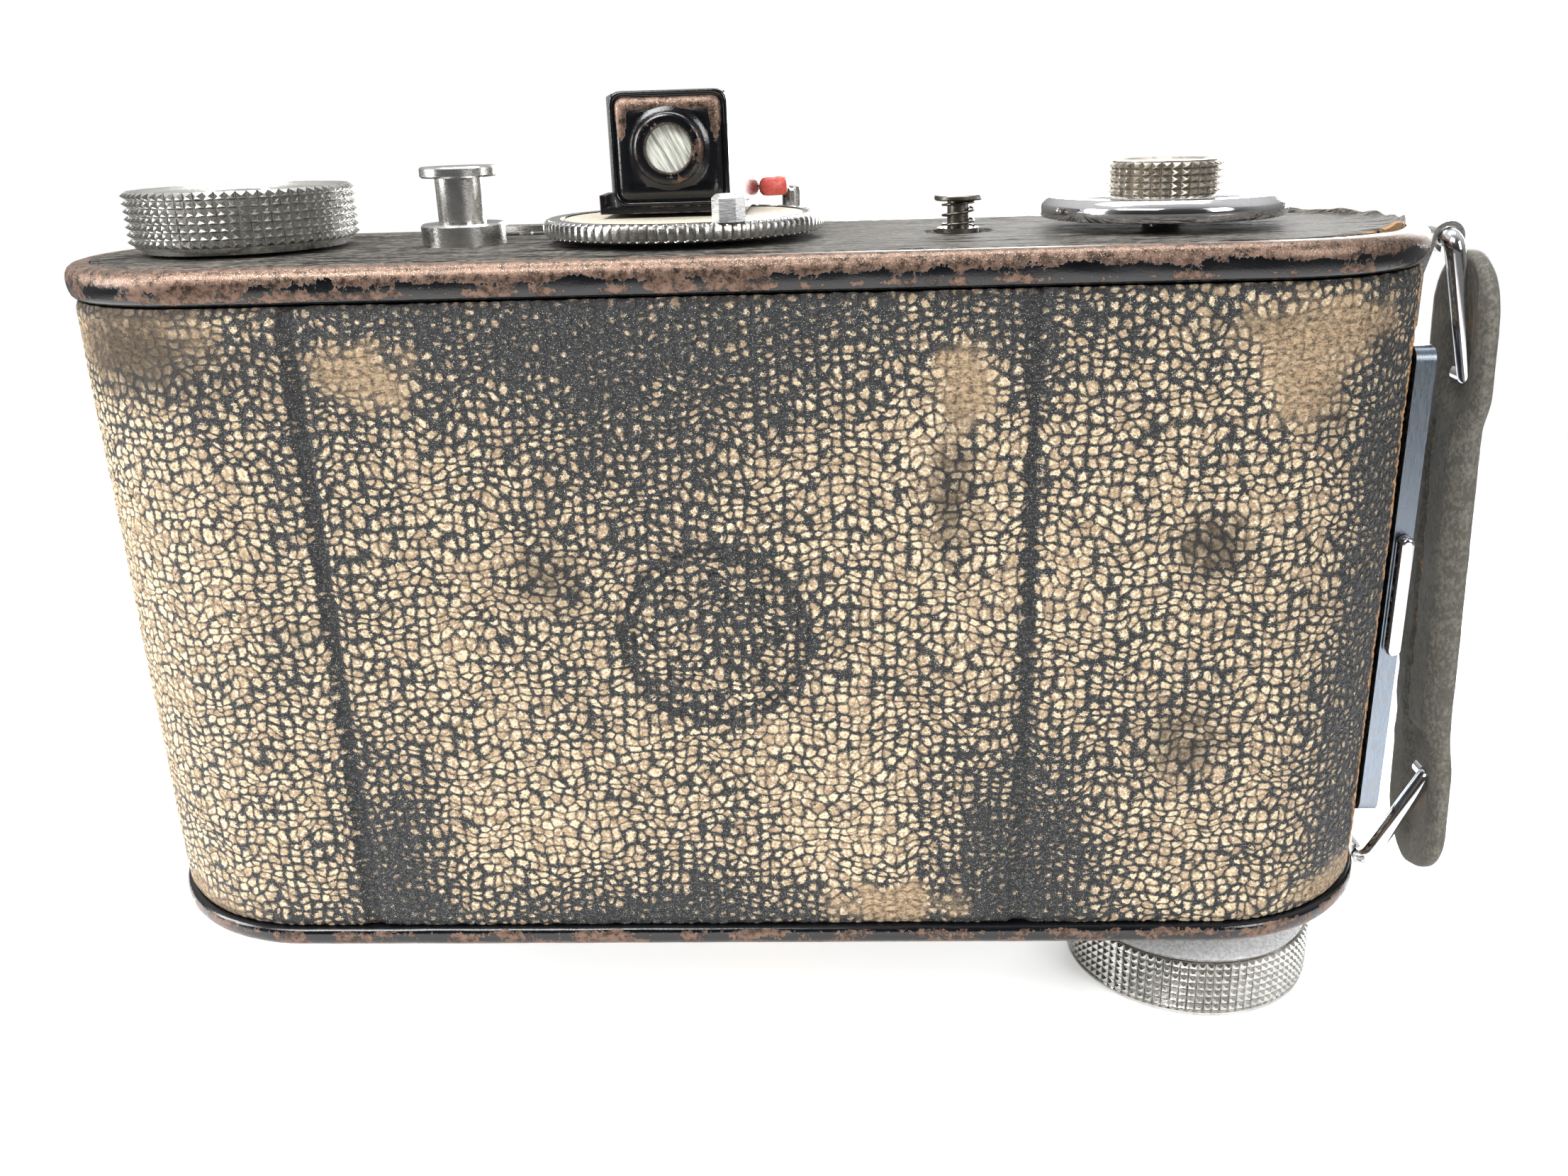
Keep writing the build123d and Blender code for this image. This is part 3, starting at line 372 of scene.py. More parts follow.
LEATHER_BACK = grained_leather("grained leather back", False)
LEATHER_FRONT = grained_leather("grained leather front", True)
TOP_LEATHER = dark_leather("top leather", (27, 27, 27), (106, 102, 95), (0.6, 1.7, 1.0), 0.09, 1.0)
STRAP_LEATHER = dark_leather("strap leather", (80, 78, 73), (108, 105, 97), (1.2, 1.4, 0.8), 0.04)
BELLOWS_LEATHER = dark_leather("bellows leather", (16, 16, 17), (46, 45, 44), (1.0, 1.0, 1.0), 0.03)
ENAMEL = worn_enamel("worn black enamel")
ENAMEL_SOUND = worn_enamel("black enamel", 0.28, 4.0)
NICKEL = nickel("nickel")
NICKEL_DIRTY = nickel("nickel with brown dirt", (214, 213, 208), (36, 30, 24), 0.24, (0.5, 0.5, 0.5), 0.15)
NICKEL_BROWN = nickel("nickel worn to brown", (184, 177, 164), (50, 40, 28), 0.34, (0.5, 0.5, 0.5), 0.3)
MIRROR_NICKEL = smooth_metal("bright nickel", (222, 222, 224), 0.1, 0.12)
STEEL = nickel("brushed steel", (128, 138, 150), (84, 80, 74), 0.3, (8, 8, 0.4), 0.3)
PALE_NICKEL = paint("pale dull nickel", (232, 233, 234), 0.35, 0.0)
PIN_STEEL = smooth_metal("polished pin", (252, 253, 255), 0.36, 0.12)
DULL_NICKEL = smooth_metal("dull nickel", (112, 107, 100), 0.34, 0.5)
BRASS = smooth_metal("brass", (196, 152, 84), 0.3)
PLAIN_STEEL = smooth_metal("plain steel", (168, 168, 170), 0.32)
SATIN_BLACK = paint("satin black", (26, 26, 27), 0.55)
RED = paint("salmon red", (226, 92, 80), 0.4, 0.05)
GLASS = smeared_lens("clear glass")
EYE_GLASS = finder_glass("eyepiece glass")
CAP_ENAMEL = worn_enamel("enamel worn along its bevel", 0.62, 0.6)
RUBBED_ENAMEL = worn_enamel("enamel rubbed brown", 0.7, 5.0, 0.32)
DIAL_FACE = paint("soiled dial face", (190, 181, 164), 0.62, 0.3)
WHITE = paint("white filling", (214, 212, 204), 0.5, 0.0)
THREAD = dark_leather("brown thread", (96, 74, 56), (158, 130, 100), (1.0, 1.0, 3.0), 0.03)


# ---------------------------------------------------------------- mesh helpers


def finish_mesh(name, verts, faces, material, body, replaces=None, slot=None, sharp=40, attributes=None):
    """Makes one named piece from millimetre vertices; attributes are values per vertex."""
    data = bpy.data.meshes.new(name)
    data.from_pydata([tuple(c * MM for c in v) for v in verts], [], faces)
    for key, values in (attributes or {}).items():
        layer = data.attributes.new(key, "FLOAT", "POINT")
        layer.data.foreach_set("value", np.asarray(values, dtype=np.float32))
    return place(name, data, material, body, replaces, slot, sharp)


def place(name, data, material, body, replaces=None, slot=None, sharp=40):
    """Turns a mesh into a piece that rides a body (or none), with edges over sharp degrees kept hard."""
    graph = bmesh.new()
    graph.from_mesh(data)
    bmesh.ops.recalc_face_normals(graph, faces=graph.faces)
    for face in graph.faces:
        face.smooth = True
    limit = radians(sharp)
    for edge in graph.edges:
        edge.smooth = len(edge.link_faces) == 2 and edge.calc_face_angle(0.0) < limit
    graph.to_mesh(data)
    graph.free()
    piece = bpy.data.objects.new(name, data)
    bpy.context.scene.collection.objects.link(piece)
    data.materials.append(material)
    if body:
        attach(piece, body)
    if replaces:
        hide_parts(replaces)
    return piece


def numbered(count, size):
    """The vertex numbers of count rings of size vertices each, made one after the other."""
    return [list(range(i * size, (i + 1) * size)) for i in range(count)]


def bridge(rings, closed=False):
    """Faces from each ring of vertex numbers to the next. A ring that repeats one number is a point."""
    faces = []
    pairs = list(zip(rings, rings[1:])) + ([(rings[-1], rings[0])] if closed else [])
    for low, high in pairs:
        for k in range(len(low)):
            n = (k + 1) % len(low)
            face = [low[k], low[n], high[n], high[k]]
            face = [v for i, v in enumerate(face) if v != face[i - 1]]
            if len(face) > 2:
                faces.append(face)
    return faces


ACROSS_AND_ALONG = {"z": ((1, 0, 0), (0, 1, 0), (0, 0, 1)), "y": ((1, 0, 0), (0, 0, 1), (0, 1, 0))}
FLUTE = (0.0, 0.0, 0.0, 0.5, 1.0, 0.5)


def turned(name, profile, centre, material, body, axis="z", steps=96, waves=0, **more):
    """A turned piece: profile is (radius, place along the axis, depth of flutes) from one end to the other.
    waves is how many flutes it has. A profile that starts or ends at radius 0 is closed there."""
    steps = waves * len(FLUTE) if waves else steps
    one, two, along = (np.array(v, float) for v in ACROSS_AND_ALONG[axis])
    centre = np.array(centre, float)
    verts, rings, cavity = [], [], []
    for radius, height, *rest in profile:
        depth = rest[0] if rest else 0.0
        if radius == 0:
            rings.append([len(verts)] * steps)
            verts.append(centre + along * height)
            cavity.append(0.0)
            continue
        rings.append(list(range(len(verts), len(verts) + steps)))
        for k in range(steps):
            angle = 2 * pi * k / steps
            flute = FLUTE[k % len(FLUTE)]
            here = radius - depth * flute
            cavity.append(float(depth > 0) * flute)
            verts.append(centre + one * here * cos(angle) + two * here * sin(angle) + along * height)
    faces = bridge(rings, closed=profile[0][0] > 0 and profile[-1][0] > 0)
    return finish_mesh(name, verts, faces, material, body, attributes={"cavity": cavity}, **more)


def knurled(name, centre, radius, low, high, rows, teeth, depth, flat, below, above, material, body, **more):
    """A knob whose rim is rows of small pyramids. below and above are (radius, z) profiles that close it at
    the axis; flat is half the share of a pyramid that its tip's small flat takes."""
    cx, cy = centre
    verts, cavity = [], []

    def ring(r, z, deep):
        first = len(verts)
        if r == 0:
            verts.append((cx, cy, z))
            cavity.append(deep)
            return [first] * teeth
        for k in range(teeth):
            a = 2 * pi * k / teeth
            verts.append((cx + r * cos(a), cy + r * sin(a), z))
            cavity.append(deep)
        return list(range(first, first + teeth))

    faces = []
    height = (high - low) / rows
    reach, half = flat * height, flat * 2 * pi / teeth
    corners = [ring(radius - depth, low + height * j, 1.0) for j in range(rows + 1)]
    for j in range(rows):
        z = low + height * (j + 0.5)
        for k in range(teeth):
            n = (k + 1) % teeth
            middle = 2 * pi * (k + 0.5) / teeth
            p, q, r, s = range(len(verts), len(verts) + 4)
            for dz, da in ((-reach, -half), (-reach, half), (reach, half), (reach, -half)):
                verts.append((cx + radius * cos(middle + da), cy + radius * sin(middle + da), z + dz))
                cavity.append(0.0)
            a, b, c, d = corners[j][k], corners[j][n], corners[j + 1][n], corners[j + 1][k]
            faces += [(p, q, r, s), (a, b, q, p), (b, c, r, q), (c, d, s, r), (d, a, p, s)]
    for edge, profile in ((corners[0], below), (corners[-1], above)):
        faces += bridge([edge] + [ring(r, z, -0.5) for r, z in profile])
    return finish_mesh(name, verts, faces, material, body, sharp=20, attributes={"cavity": cavity}, **more)


def skin(name, us, vs, outer, inner, material, body, attributes=None, **more):
    """A sheet with thickness: outer(u, v) is its detailed face, inner(u, v) its plain back."""
    nu, nv = len(us), len(vs)
    grid_u, grid_v = np.meshgrid(us, vs, indexing="ij")
    front = np.stack(outer(grid_u, grid_v), -1).reshape(-1, 3)
    border = [(i, 0) for i in range(nu)] + [(nu - 1, j) for j in range(1, nv)]
    border += [(i, nv - 1) for i in range(nu - 2, -1, -1)] + [(0, j) for j in range(nv - 2, 0, -1)]
    edge_u = np.array([us[i] for i, _ in border])
    edge_v = np.array([vs[j] for _, j in border])
    back = np.stack(inner(edge_u, edge_v), -1)
    verts = np.concatenate([front, back]).tolist()
    faces = [
        (i * nv + j, (i + 1) * nv + j, (i + 1) * nv + j + 1, i * nv + j + 1)
        for i in range(nu - 1)
        for j in range(nv - 1)
    ]
    base, count = nu * nv, len(border)
    index = {key: base + n for n, key in enumerate(border)}
    for n in range(count):
        (i, j), (k, m) = border[n], border[(n + 1) % count]
        faces.append((k * nv + m, i * nv + j, base + n, base + (n + 1) % count))
    for i in range(1, nu - 2):
        faces.append((index[i, 0], index[i, nv - 1], index[i + 1, nv - 1], index[i + 1, 0]))
    left = [index[0, j] for j in range(nv)] + [index[1, nv - 1], index[1, 0]]
    right = [index[nu - 1, j] for j in range(nv)] + [index[nu - 2, nv - 1], index[nu - 2, 0]]
    faces += [left, right[::-1]]
    values = {}
    for key, make in (attributes or {}).items():
        inside = np.broadcast_to(make(grid_u, grid_v), grid_u.shape).reshape(-1)
        values[key] = np.concatenate([inside, np.broadcast_to(make(edge_u, edge_v), edge_u.shape)])
    return finish_mesh(name, verts, faces, material, body, attributes=values, **more)


def ripple(u, v, scale, seed=0.0):
    """Smooth noise in -1 to 1 over two arrays."""
    flat = [noise.noise(Vector((a * scale, b * scale, seed))) for a, b in zip(u.ravel(), v.ravel())]
    return np.array(flat).reshape(u.shape)


def bump(u, v, at, size):
    """A soft spot, 1 at its middle."""
    return np.exp(-(((u - at[0]) / size[0]) ** 2) - ((v - at[1]) / size[1]) ** 2)


def smooth(value, low, high):
    """A smooth step from 0 at low to 1 at high."""
    t = np.clip((value - low) / (high - low), 0, 1)
    return t * t * (3 - 2 * t)


def wall_point(u, radius, front=False):
    """X and Y on the body's outline, u millimetres along it from the middle of the back or front."""
    middle = np.clip(u, -STRAIGHT, STRAIGHT)
    angle = (u - middle) / WALL_R
    y = -radius * np.cos(angle)
    return middle + radius * np.sin(angle), (-y if front else y)


def rim_ring(name, profile, material, body, **more):
    """A profile of (radius, z, edge wear) swept once round the stadium outline."""
    turns = np.linspace(-pi / 2, pi / 2, 70)
    flats = np.linspace(-STRAIGHT, STRAIGHT, 150)[1:-1]
    stations = [(STRAIGHT, cos(a), sin(a)) for a in turns]
    stations += [(x, 0.0, 1.0) for x in flats[::-1]]
    stations += [(-STRAIGHT, -cos(a), sin(a)) for a in turns[::-1]]
    stations += [(x, 0.0, -1.0) for x in flats]
    verts, edge = [], []
    for x, nx, ny in stations:
        for radius, z, wear in profile:
            dent = 0.05 * noise.noise(Vector((x * 0.25 + nx * 5, ny * 5, z)))
            verts.append((x + nx * (radius + dent), ny * (radius + dent), z))
            edge.append(wear)
    faces = bridge(numbered(len(stations), len(profile)), closed=True)
    return finish_mesh(name, verts, faces, material, body, attributes={"edge": edge}, **more)


# ---------------------------------------------------------------- leather back


def seam_groove(u, v):
    """1 in the two pressed seams, which are flat bands that widen downwards."""
    half = 0.5 + 0.3 * smooth(v, 22.0, 4.0)
    return sum(1 - smooth(np.abs(u - s), half, half + 0.35) for s in SEAMS)


def rosette_line(u, v):
    """Two pressed rings and an eight-leaved rosette inside them, 1 where the tool pressed."""
    du, dv = u - ROSETTE[0], v - ROSETTE[1]
    radius, angle = np.hypot(du, dv), np.arctan2(dv, du)
    rings = np.exp(-(((radius - 8.6) / 0.32) ** 2)) + 0.8 * np.exp(-(((radius - 7.7) / 0.2) ** 2))
    leaf = 1.6 + 4.6 * np.abs(np.cos(4 * angle)) ** 0.8
    leaves = np.exp(-(((radius - leaf) / 0.3) ** 2))
    return np.clip(rings + leaves, 0, 1)


def spots(u, v, table):
    """The sum of soft spots, each (share, place, size)."""
    return sum(share * bump(u, v, at, size) for share, at, size in table)


# Each is (share, (along the wall, height), (half width, half height)).
BACK_RUBBED = (
    (-0.8, (-35.0, 9.0), (4.5, 13.0)), (-0.72, (27.0, 8.0), (8.5, 13.0)), (-0.85, (-8.0, 1.0), (30.0, 6.5)),
    (-0.25, (-14.0, 55.0), (26.0, 10.0)), (-0.2, (-8.0, 50.0), (9.0, 10.0)), (-0.3, ROSETTE, (9.0, 9.0)),
    (0.3, (20.0, 54.0), (5.5, 9.0)), (0.26, (12.0, 10.0), (8.0, 8.0)), (0.26, (-60.0, 30.0), (10.0, 22.0)),
    (0.26, (-22.0, 14.0), (7.0, 9.0)),
)
BACK_BALD = (
    (1, (-57.0, 62.0), (14.0, 4.2)), (1, (52.0, 60.5), (10.0, 3.6)), (1, (50.0, 55.0), (3.6, 4.0)),
    (1, (-62.0, 2.5), (12.0, 3.2)), (1, (62.0, 3.0), (9.0, 4.0)), (1, (-32.0, 58.5), (5.0, 3.6)),
    (1, (20.5, 56.5), (3.4, 4.6)), (1, (14.0, 4.5), (8.0, 3.0)), (1, (-72.0, 30.0), (4.0, 26.0)),
)
BACK_STAINS = (
    (1.5, (43.0, 41.5), (3.6, 3.6)), (1.2, (41.5, 22.0), (4.4, 4.8)), (0.9, (-17.5, 39.0), (4.6, 5.0)),
    (0.45, (-38.5, 58.0), (9.0, 4.0)), (1.7, (-54.0, 60.5), (8.0, 4.5)), (1.1, (19.5, 47.0), (2.8, 7.5)),
    (0.9, (53.0, 53.5), (2.2, 3.0)), (0.7, (44.0, 61.5), (7.0, 2.0)), (0.8, (58.0, 59.0), (2.5, 2.5)),
    (0.5, (-55.0, 4.0), (12.0, 3.0)), (0.6, (-41.5, 34.0), (2.0, 3.0)),
)
FRONT_RUBBED = ((0.25, (-62.0, 30.0), (9.0, 24.0)), (0.2, (52.0, 20.0), (9.0, 20.0)))
FRONT_BALD = (
    (1, (-62.0, 63.5), (9.0, 3.4)), (1, (60.0, 63.5), (9.0, 3.4)), (1, (-60.0, 2.6), (10.0, 2.6)),
    (1, (62.0, 3.0), (9.0, 2.8)),
)


def back_wear_and_shade(u, v):
    """How far the tops of the grain are rubbed to tan; towards the right end it is lowered as painted shade.
    """
    wear = 0.82 + 0.20 * ripple(u, v, 0.06) + 0.14 * ripple(u, v, 0.21, 4.0)
    middle = smooth(u, -44.0, -24.0) * smooth(u, 36.0, 22.0)
    top_band = 0.24 + 0.3 * middle + 0.26 * ripple(u, v * 0.3, 0.12, 9.0)
    # painted shade: the grain is left dark towards the right end, where the wall turns away from the light
    right_end_shade = smooth(u, 51.0, 60.0) * (1 - 0.6 * smooth(v, 50.0, 60.0))
    wear -= smooth(v, 49.0, 64.0) * top_band + 0.66 * right_end_shade
    wear += spots(u, v, BACK_RUBBED) - 1.1 * seam_groove(u, v) - 1.3 * rosette_line(u, v)
    return np.clip(wear, 0.0, 1.2)


def back_bald(u, v):
    """Corners where the grain is worn flat to brown suede."""
    return np.clip(spots(u, v, BACK_BALD) * (0.9 + 0.5 * ripple(u, v, 0.35, 7.0)), 0, 1)


def back_stains_and_rim_shade(u, v):
    """Dark stains, a little darkening along the seams, and painted shade in bands under the top rim and above
    the bottom rim.
    """
    total = spots(u, v, BACK_STAINS) * (0.75 + 0.5 * ripple(u, v, 0.9, 2.0)) + 0.12 * seam_groove(u, v)
    # the two bands along the rims are painted shade
    return np.clip(total + 0.75 * smooth(v, 63.4, 64.6) + 0.5 * (1 - smooth(v, 2.3, 3.6)), 0, 1)


def back_fray(u, v):
    """The raw brown fringe of the back's free end."""
    return smooth(u + 1.4 * ripple(v, v, 0.6, 5.0), BACK_RIGHT - 1.9, BACK_RIGHT - 1.2)


def tucked(v):
    """1 on the upper and lower borders of the wall's leather, which dip under the rims."""
    return smooth(v, WALL_HIGH - 0.7, WALL_HIGH) + 1 - smooth(v, WALL_LOW, WALL_LOW + 0.7)


def back_leather():
    """The leather of the swinging back: a fine grid wrapped round the body up to its frayed free end."""
    us = np.arange(BACK_LEFT, BACK_RIGHT, 0.34)
    vs = np.linspace(WALL_LOW, WALL_HIGH, 186)

    def outer(u, v):
        swell = 0.10 * ripple(u, v, 0.09, 1.0) - 0.34 * seam_groove(u, v) - 0.3 * rosette_line(u, v)
        ragged = 0.35 * ripple(v, v, 0.9, 3.0) * smooth(u, BACK_RIGHT - 2.5, BACK_RIGHT)
        x, y = wall_point(u + ragged, WALL_R + swell - 0.25 * tucked(v))
        return x, y, v + 0.05 * ripple(u, v, 0.5, 6.0)

    def inner(u, v):
        return *wall_point(u, WALL_R - LEATHER_THICK), v

    worn = {"wear": back_wear_and_shade, "bald": back_bald, "stains_and_rim_shade": back_stains_and_rim_shade, "raw": back_fray}
    return skin("back_leather_grain", us, vs, outer, inner, LEATHER_BACK, "back_door",
                attributes=worn, replaces="back_leather", slot="grained_leather", sharp=60)


def pebble_relief(piece, front):
    """Raises the same grain that the material colours, as real relief on the mesh."""
    tree = bpy.data.node_groups.new(piece.name + "_relief", "GeometryNodeTree")
    for way in ("INPUT", "OUTPUT"):
        tree.interface.new_socket("Geometry", in_out=way, socket_type="NodeSocketGeometry")
    g = Graph(tree)
    start = g.node("NodeGroupInput")
    where = g.vector("MULTIPLY", g.node("GeometryNodeInputPosition"), (1000, 1000, 1000))
    bald = g.node("GeometryNodeInputNamedAttribute", {0: "bald"}, data_type="FLOAT")
    share = g.times(pebble_height(g, on_wall(g, where, front)), g.math("SUBTRACT", 1.0, bald, clamp=True))
    rise = {0: g.node("GeometryNodeInputNormal"), 3: g.times(share, PEBBLE_RISE * MM)}
    lift = g.node("ShaderNodeVectorMath", rise, operation="SCALE")
    g.node("NodeGroupOutput", {0: g.node("GeometryNodeSetPosition", {0: start, "Offset": lift})})
    piece.modifiers.new("relief", "NODES").node_group = tree


# ---------------------------------------------------------------- body


def rims():
    """The enamelled rims; each point of a profile is (radius, z, how worn its edge is)."""
    top = [(16.0, 66.3, 0.0), (16.0, 67.5, 0.0), (16.75, 67.5, 0.0), (16.85, 67.95, 0.5), (17.3, 68.0, 0.8),
           (17.9, 67.98, 1.0), (18.4, 67.85, 1.0), (18.8, 67.55, 0.95), (19.02, 67.15, 0.85),
           (19.1, 66.7, 0.7), (19.1, 66.3, 0.53), (19.06, 65.9, 0.52), (18.98, 65.5, 0.62),
           (18.85, 65.15, 0.5), (18.6, 64.9, 0.2), (18.2, 64.8, 0.0), (17.0, 64.8, 0.0)]
    low = [(16.0, 2.1, 0.0), (18.3, 2.1, 0.0), (18.75, 2.02, 0.2), (19.0, 1.8, 0.5), (19.1, 1.45, 0.6),
           (19.1, 1.0, 0.55), (19.05, 0.6, 0.55), (18.85, 0.25, 0.7), (18.4, 0.05, 0.9), (17.4, 0.0, 0.8),
           (16.9, 0.0, 0.4), (16.8, 0.55, 0.0), (16.0, 0.6, 0.0)]
    for node, profile in (("top_cap", top), ("bottom_cap", low)):
        rim_ring(node + "_rim", profile, ENAMEL, "root", replaces=node, slot="black_enamel")


def flat_field(node, radius, face, under, height, raw=None, step=0.5):
    """A stadium-shaped sheet of leather lying flat. height(x, y, t) lifts its face, t being -1 and 1 on its
    long borders; raw(x, y, t) is where it is frayed."""
    sines = np.sin(np.linspace(0, pi / 2 - 0.03, 34))
    ends = STRAIGHT + radius * sines
    xs = np.concatenate([-ends[::-1], np.arange(-STRAIGHT + step, STRAIGHT, step), ends])
    ts = np.linspace(-1, 1, 68)

    def half(x):
        reach = np.clip(np.abs(x) - STRAIGHT, 0, radius)
        return np.sqrt(radius**2 - reach**2)

    def outer(x, t):
        y = t * half(x)
        return x, y, face + height(x, y, t)

    def inner(x, t):
        return x, t * half(x), np.full_like(x, under)

    attributes = {"raw": lambda x, t: raw(x, t * half(x), t)} if raw else None
    skin(node + "_sheet", xs, ts, outer, inner, TOP_LEATHER, "root", attributes=attributes, replaces=node,
         slot="top_leather", sharp=50)


def top_leather():
    """Its right end has come loose and frays; a shallow round recess lies under the transport button."""
    def near_end(x, t):
        """1 on the border of the sheet, at its right end."""
        return smooth(x, 50.0, 60.0) * np.clip(smooth(np.abs(t), 0.72, 1.0) + smooth(x, 59.5, 62.5), 0, 1)

    def height(x, y, t):
        lift = 0.85 * near_end(x, t) * (0.55 + 0.6 * ripple(x, y, 0.35, 5.0))
        fibre = 0.05 * ripple(x * 0.5, y * 2.4, 0.9, 8.0)
        recess = -0.45 * (1 - smooth(np.hypot(x - TRANSPORT_X, y), 2.9, 3.2))
        edge = -0.12 * smooth(np.abs(t), 0.97, 1.0)
        return lift + fibre + recess + edge

    def raw(x, y, t):
        border = smooth(np.abs(t), 0.955, 1.0) * (0.35 + 0.5 * ripple(x, y, 0.25, 11.0))
        return np.clip(border + 0.9 * near_end(x, t) * smooth(np.abs(t), 0.9, 1.0), 0, 1)

    flat_field("top_leather", 16.72, 68.0, 67.5, height, raw)


def bottom_leather():
    def height(x, y, t):
        return 0.03 * ripple(x * 0.5, y * 2.0, 0.8, 2.0)

    flat_field("bottom_leather", 16.7, 0.08, 0.55, height, step=1.5)


# ---------------------------------------------------------------- knobs and buttons


def knobs():
    """Profiles are (radius, z), and in the dial a third number is the depth of its flutes."""
    knurled("advance_knob_knurled", (-48.7, 0), 10.73, 69.04, 74.04, 7, 68, 0.5, 0.02,
            [(10.2, 68.95), (10.15, 68.8), (9.7, 68.75), (9.6, 68.35), (0, 68.3)],
            [(10.2, 74.0), (9.9, 73.95), (9.6, 73.7), (6.0, 73.6), (5.8, 73.45), (2.4, 73.45), (2.2, 73.75),
             (0, 73.8)],
            NICKEL_DIRTY, "advance", replaces="advance_knob", slot="nickel")
    knurled("scale_grip_knurled", (SCALE_X, 0), 5.36, 71.0, 74.0, 5, 34, 0.5, 0.02,
            [(4.9, 70.98), (0, 70.98)],
            [(4.9, 74.1), (4.6, 74.15), (4.2, 73.95), (1.6, 73.9), (1.4, 73.6), (0, 73.6)],
            NICKEL_BROWN, "scale", replaces="scale_grip", slot="nickel")
    knurled("rewind_knob_knurled", (REWIND_X, 0), 13.3, -12.6, -6.7, 7, 92, 0.4, 0.12,
            [(13.0, -12.65), (13.15, -12.75), (13.15, -13.0), (12.9, -13.1), (11.6, -13.1), (11.4, -12.8),
             (3.0, -12.8), (0, -12.6)],
            [(12.95, -6.66), (12.7, -6.5), (6.0, -6.45), (6.0, -0.4), (0, -0.4)],
            NICKEL_DIRTY, "rewind", replaces="rewind_knob", slot="nickel")
    cone = [(6.02, -6.4), (12.65, -6.45), (12.85, -6.36), (12.75, -6.2), (9.75, -4.42), (9.4, -4.28),
            (6.02, -4.25)]
    turned("rewind_knob_cone", cone, (REWIND_X, 0, 0), PALE_NICKEL, "rewind", steps=160, slot="nickel")
    dial = [(0, 64.6), (1.8, 64.6), (1.8, 68.6), (12.9, 68.6), (13.3, 68.75), (13.5, 68.85, 0.42),
            (13.57, 69.1, 0.42), (13.57, 69.9, 0.42), (13.45, 70.15, 0.42), (13.1, 70.3), (11.95, 70.3),
            (11.9, 70.08), (11.55, 70.08), (11.5, 70.2), (0, 70.2)]
    turned("counter_dial_fluted", dial, (DIAL_X, 0, 0), NICKEL, "counter", waves=96, replaces="counter_dial",
           slot="nickel", sharp=28)
    face = [(0, 70.12), (11.48, 70.12), (11.48, 70.235), (0, 70.235)]
    turned("counter_dial_face", face, (DIAL_X, 0, 0), DIAL_FACE, "counter", slot="nickel")
    disc = [(0, 64.6), (1.8, 64.6), (1.8, 69.0), (11.0, 69.0), (11.3, 69.08), (11.45, 69.3), (11.45, 70.2),
            (11.38, 70.35), (10.9, 70.93), (10.75, 70.98), (9.2, 70.98), (9.1, 70.9), (8.9, 70.9),
            (8.8, 70.98), (0, 70.98)]
    turned("scale_disc_turned", disc, (SCALE_X, 0, 0), MIRROR_NICKEL, "scale", replaces="scale_disc",
           slot="nickel", steps=160)


def rounded_rectangle(half_wide, half_high, corner, steps):
    """Points round a rectangle with round corners, from the right side anticlockwise, evenly by angle."""
    points = []
    for k in range(steps):
        angle = 2 * pi * k / steps
        c, s = cos(angle), sin(angle)
        reach = min(half_wide / max(abs(c), 1e-9), half_high / max(abs(s), 1e-9))
        x, z = reach * c, reach * s
        over_x, over_z = abs(x) - (half_wide - corner), abs(z) - (half_high - corner)
        if over_x > 0 and over_z > 0:
            pull = corner / max(sqrt(over_x**2 + over_z**2), corner)
            x = (half_wide - corner + over_x * pull) * (1 if x > 0 else -1)
            z = (half_high - corner + over_z * pull) * (1 if z > 0 else -1)
        points.append((x, z))
    return points


def finder_cap():
    """The pressed rear cap: an outer lip, a groove, a wide pillow bevel and a face that domes up to the
    eyepiece. Each point of the lip is (how far inside the outline, y, wear), of the dome (radius, y)."""
    half_wide, half_high, corner, steps = 5.5, 5.15, 1.1, 128
    lip = [(0.0, -2.6, 0), (0.0, -3.3, 0), (0.06, -3.42, 0.15), (0.2, -3.48, 0.25), (0.36, -3.42, 0.1),
           (0.42, -3.28, 0), (0.5, -3.26, 0), (0.58, -3.4, 0.5), (0.75, -3.56, 0.85), (1.0, -3.68, 1.0),
           (1.3, -3.74, 0.9), (1.6, -3.74, 0.6), (1.85, -3.66, 0.1)]
    dome = [(4.05, -3.64), (3.8, -3.7), (3.55, -3.84), (3.3, -3.97), (2.9, -4.0), (2.4, -4.0), (2.4, -2.6)]
    verts, edge = [], []
    for inset, y, wear in lip:
        round_by = max(corner - inset * 0.45, 0.4)
        for x, z in rounded_rectangle(half_wide - inset, half_high - inset, round_by, steps):
            verts.append((FINDER_X + x, y, FINDER_Z + z))
            edge.append(wear * (0.15 + 0.85 * smooth(z, -1.5, 3.5)))
    for radius, y in dome:
        for k in range(steps):
            angle = 2 * pi * k / steps
            verts.append((FINDER_X + radius * cos(angle), y, FINDER_Z + radius * sin(angle)))
            edge.append(0.0)
    faces = bridge(numbered(len(lip) + len(dome), steps), closed=True)
    finish_mesh("finder_rear_cap_pressed", verts, faces, CAP_ENAMEL, "root", attributes={"edge": edge},
                replaces="finder_rear_cap", slot="black_enamel", sharp=50)
    ring = [(2.1, -4.0), (2.1, -4.5), (2.2, -4.66), (2.4, -4.7), (2.85, -4.68), (3.08, -4.6), (3.22, -4.42),
            (3.27, -4.2), (3.27, -4.0)]
    turned("eyepiece_ring_turned", ring, (FINDER_X, 0, FINDER_Z), RUBBED_ENAMEL, "root", axis="y",
           replaces="eyepiece_ring", slot="black_enamel")


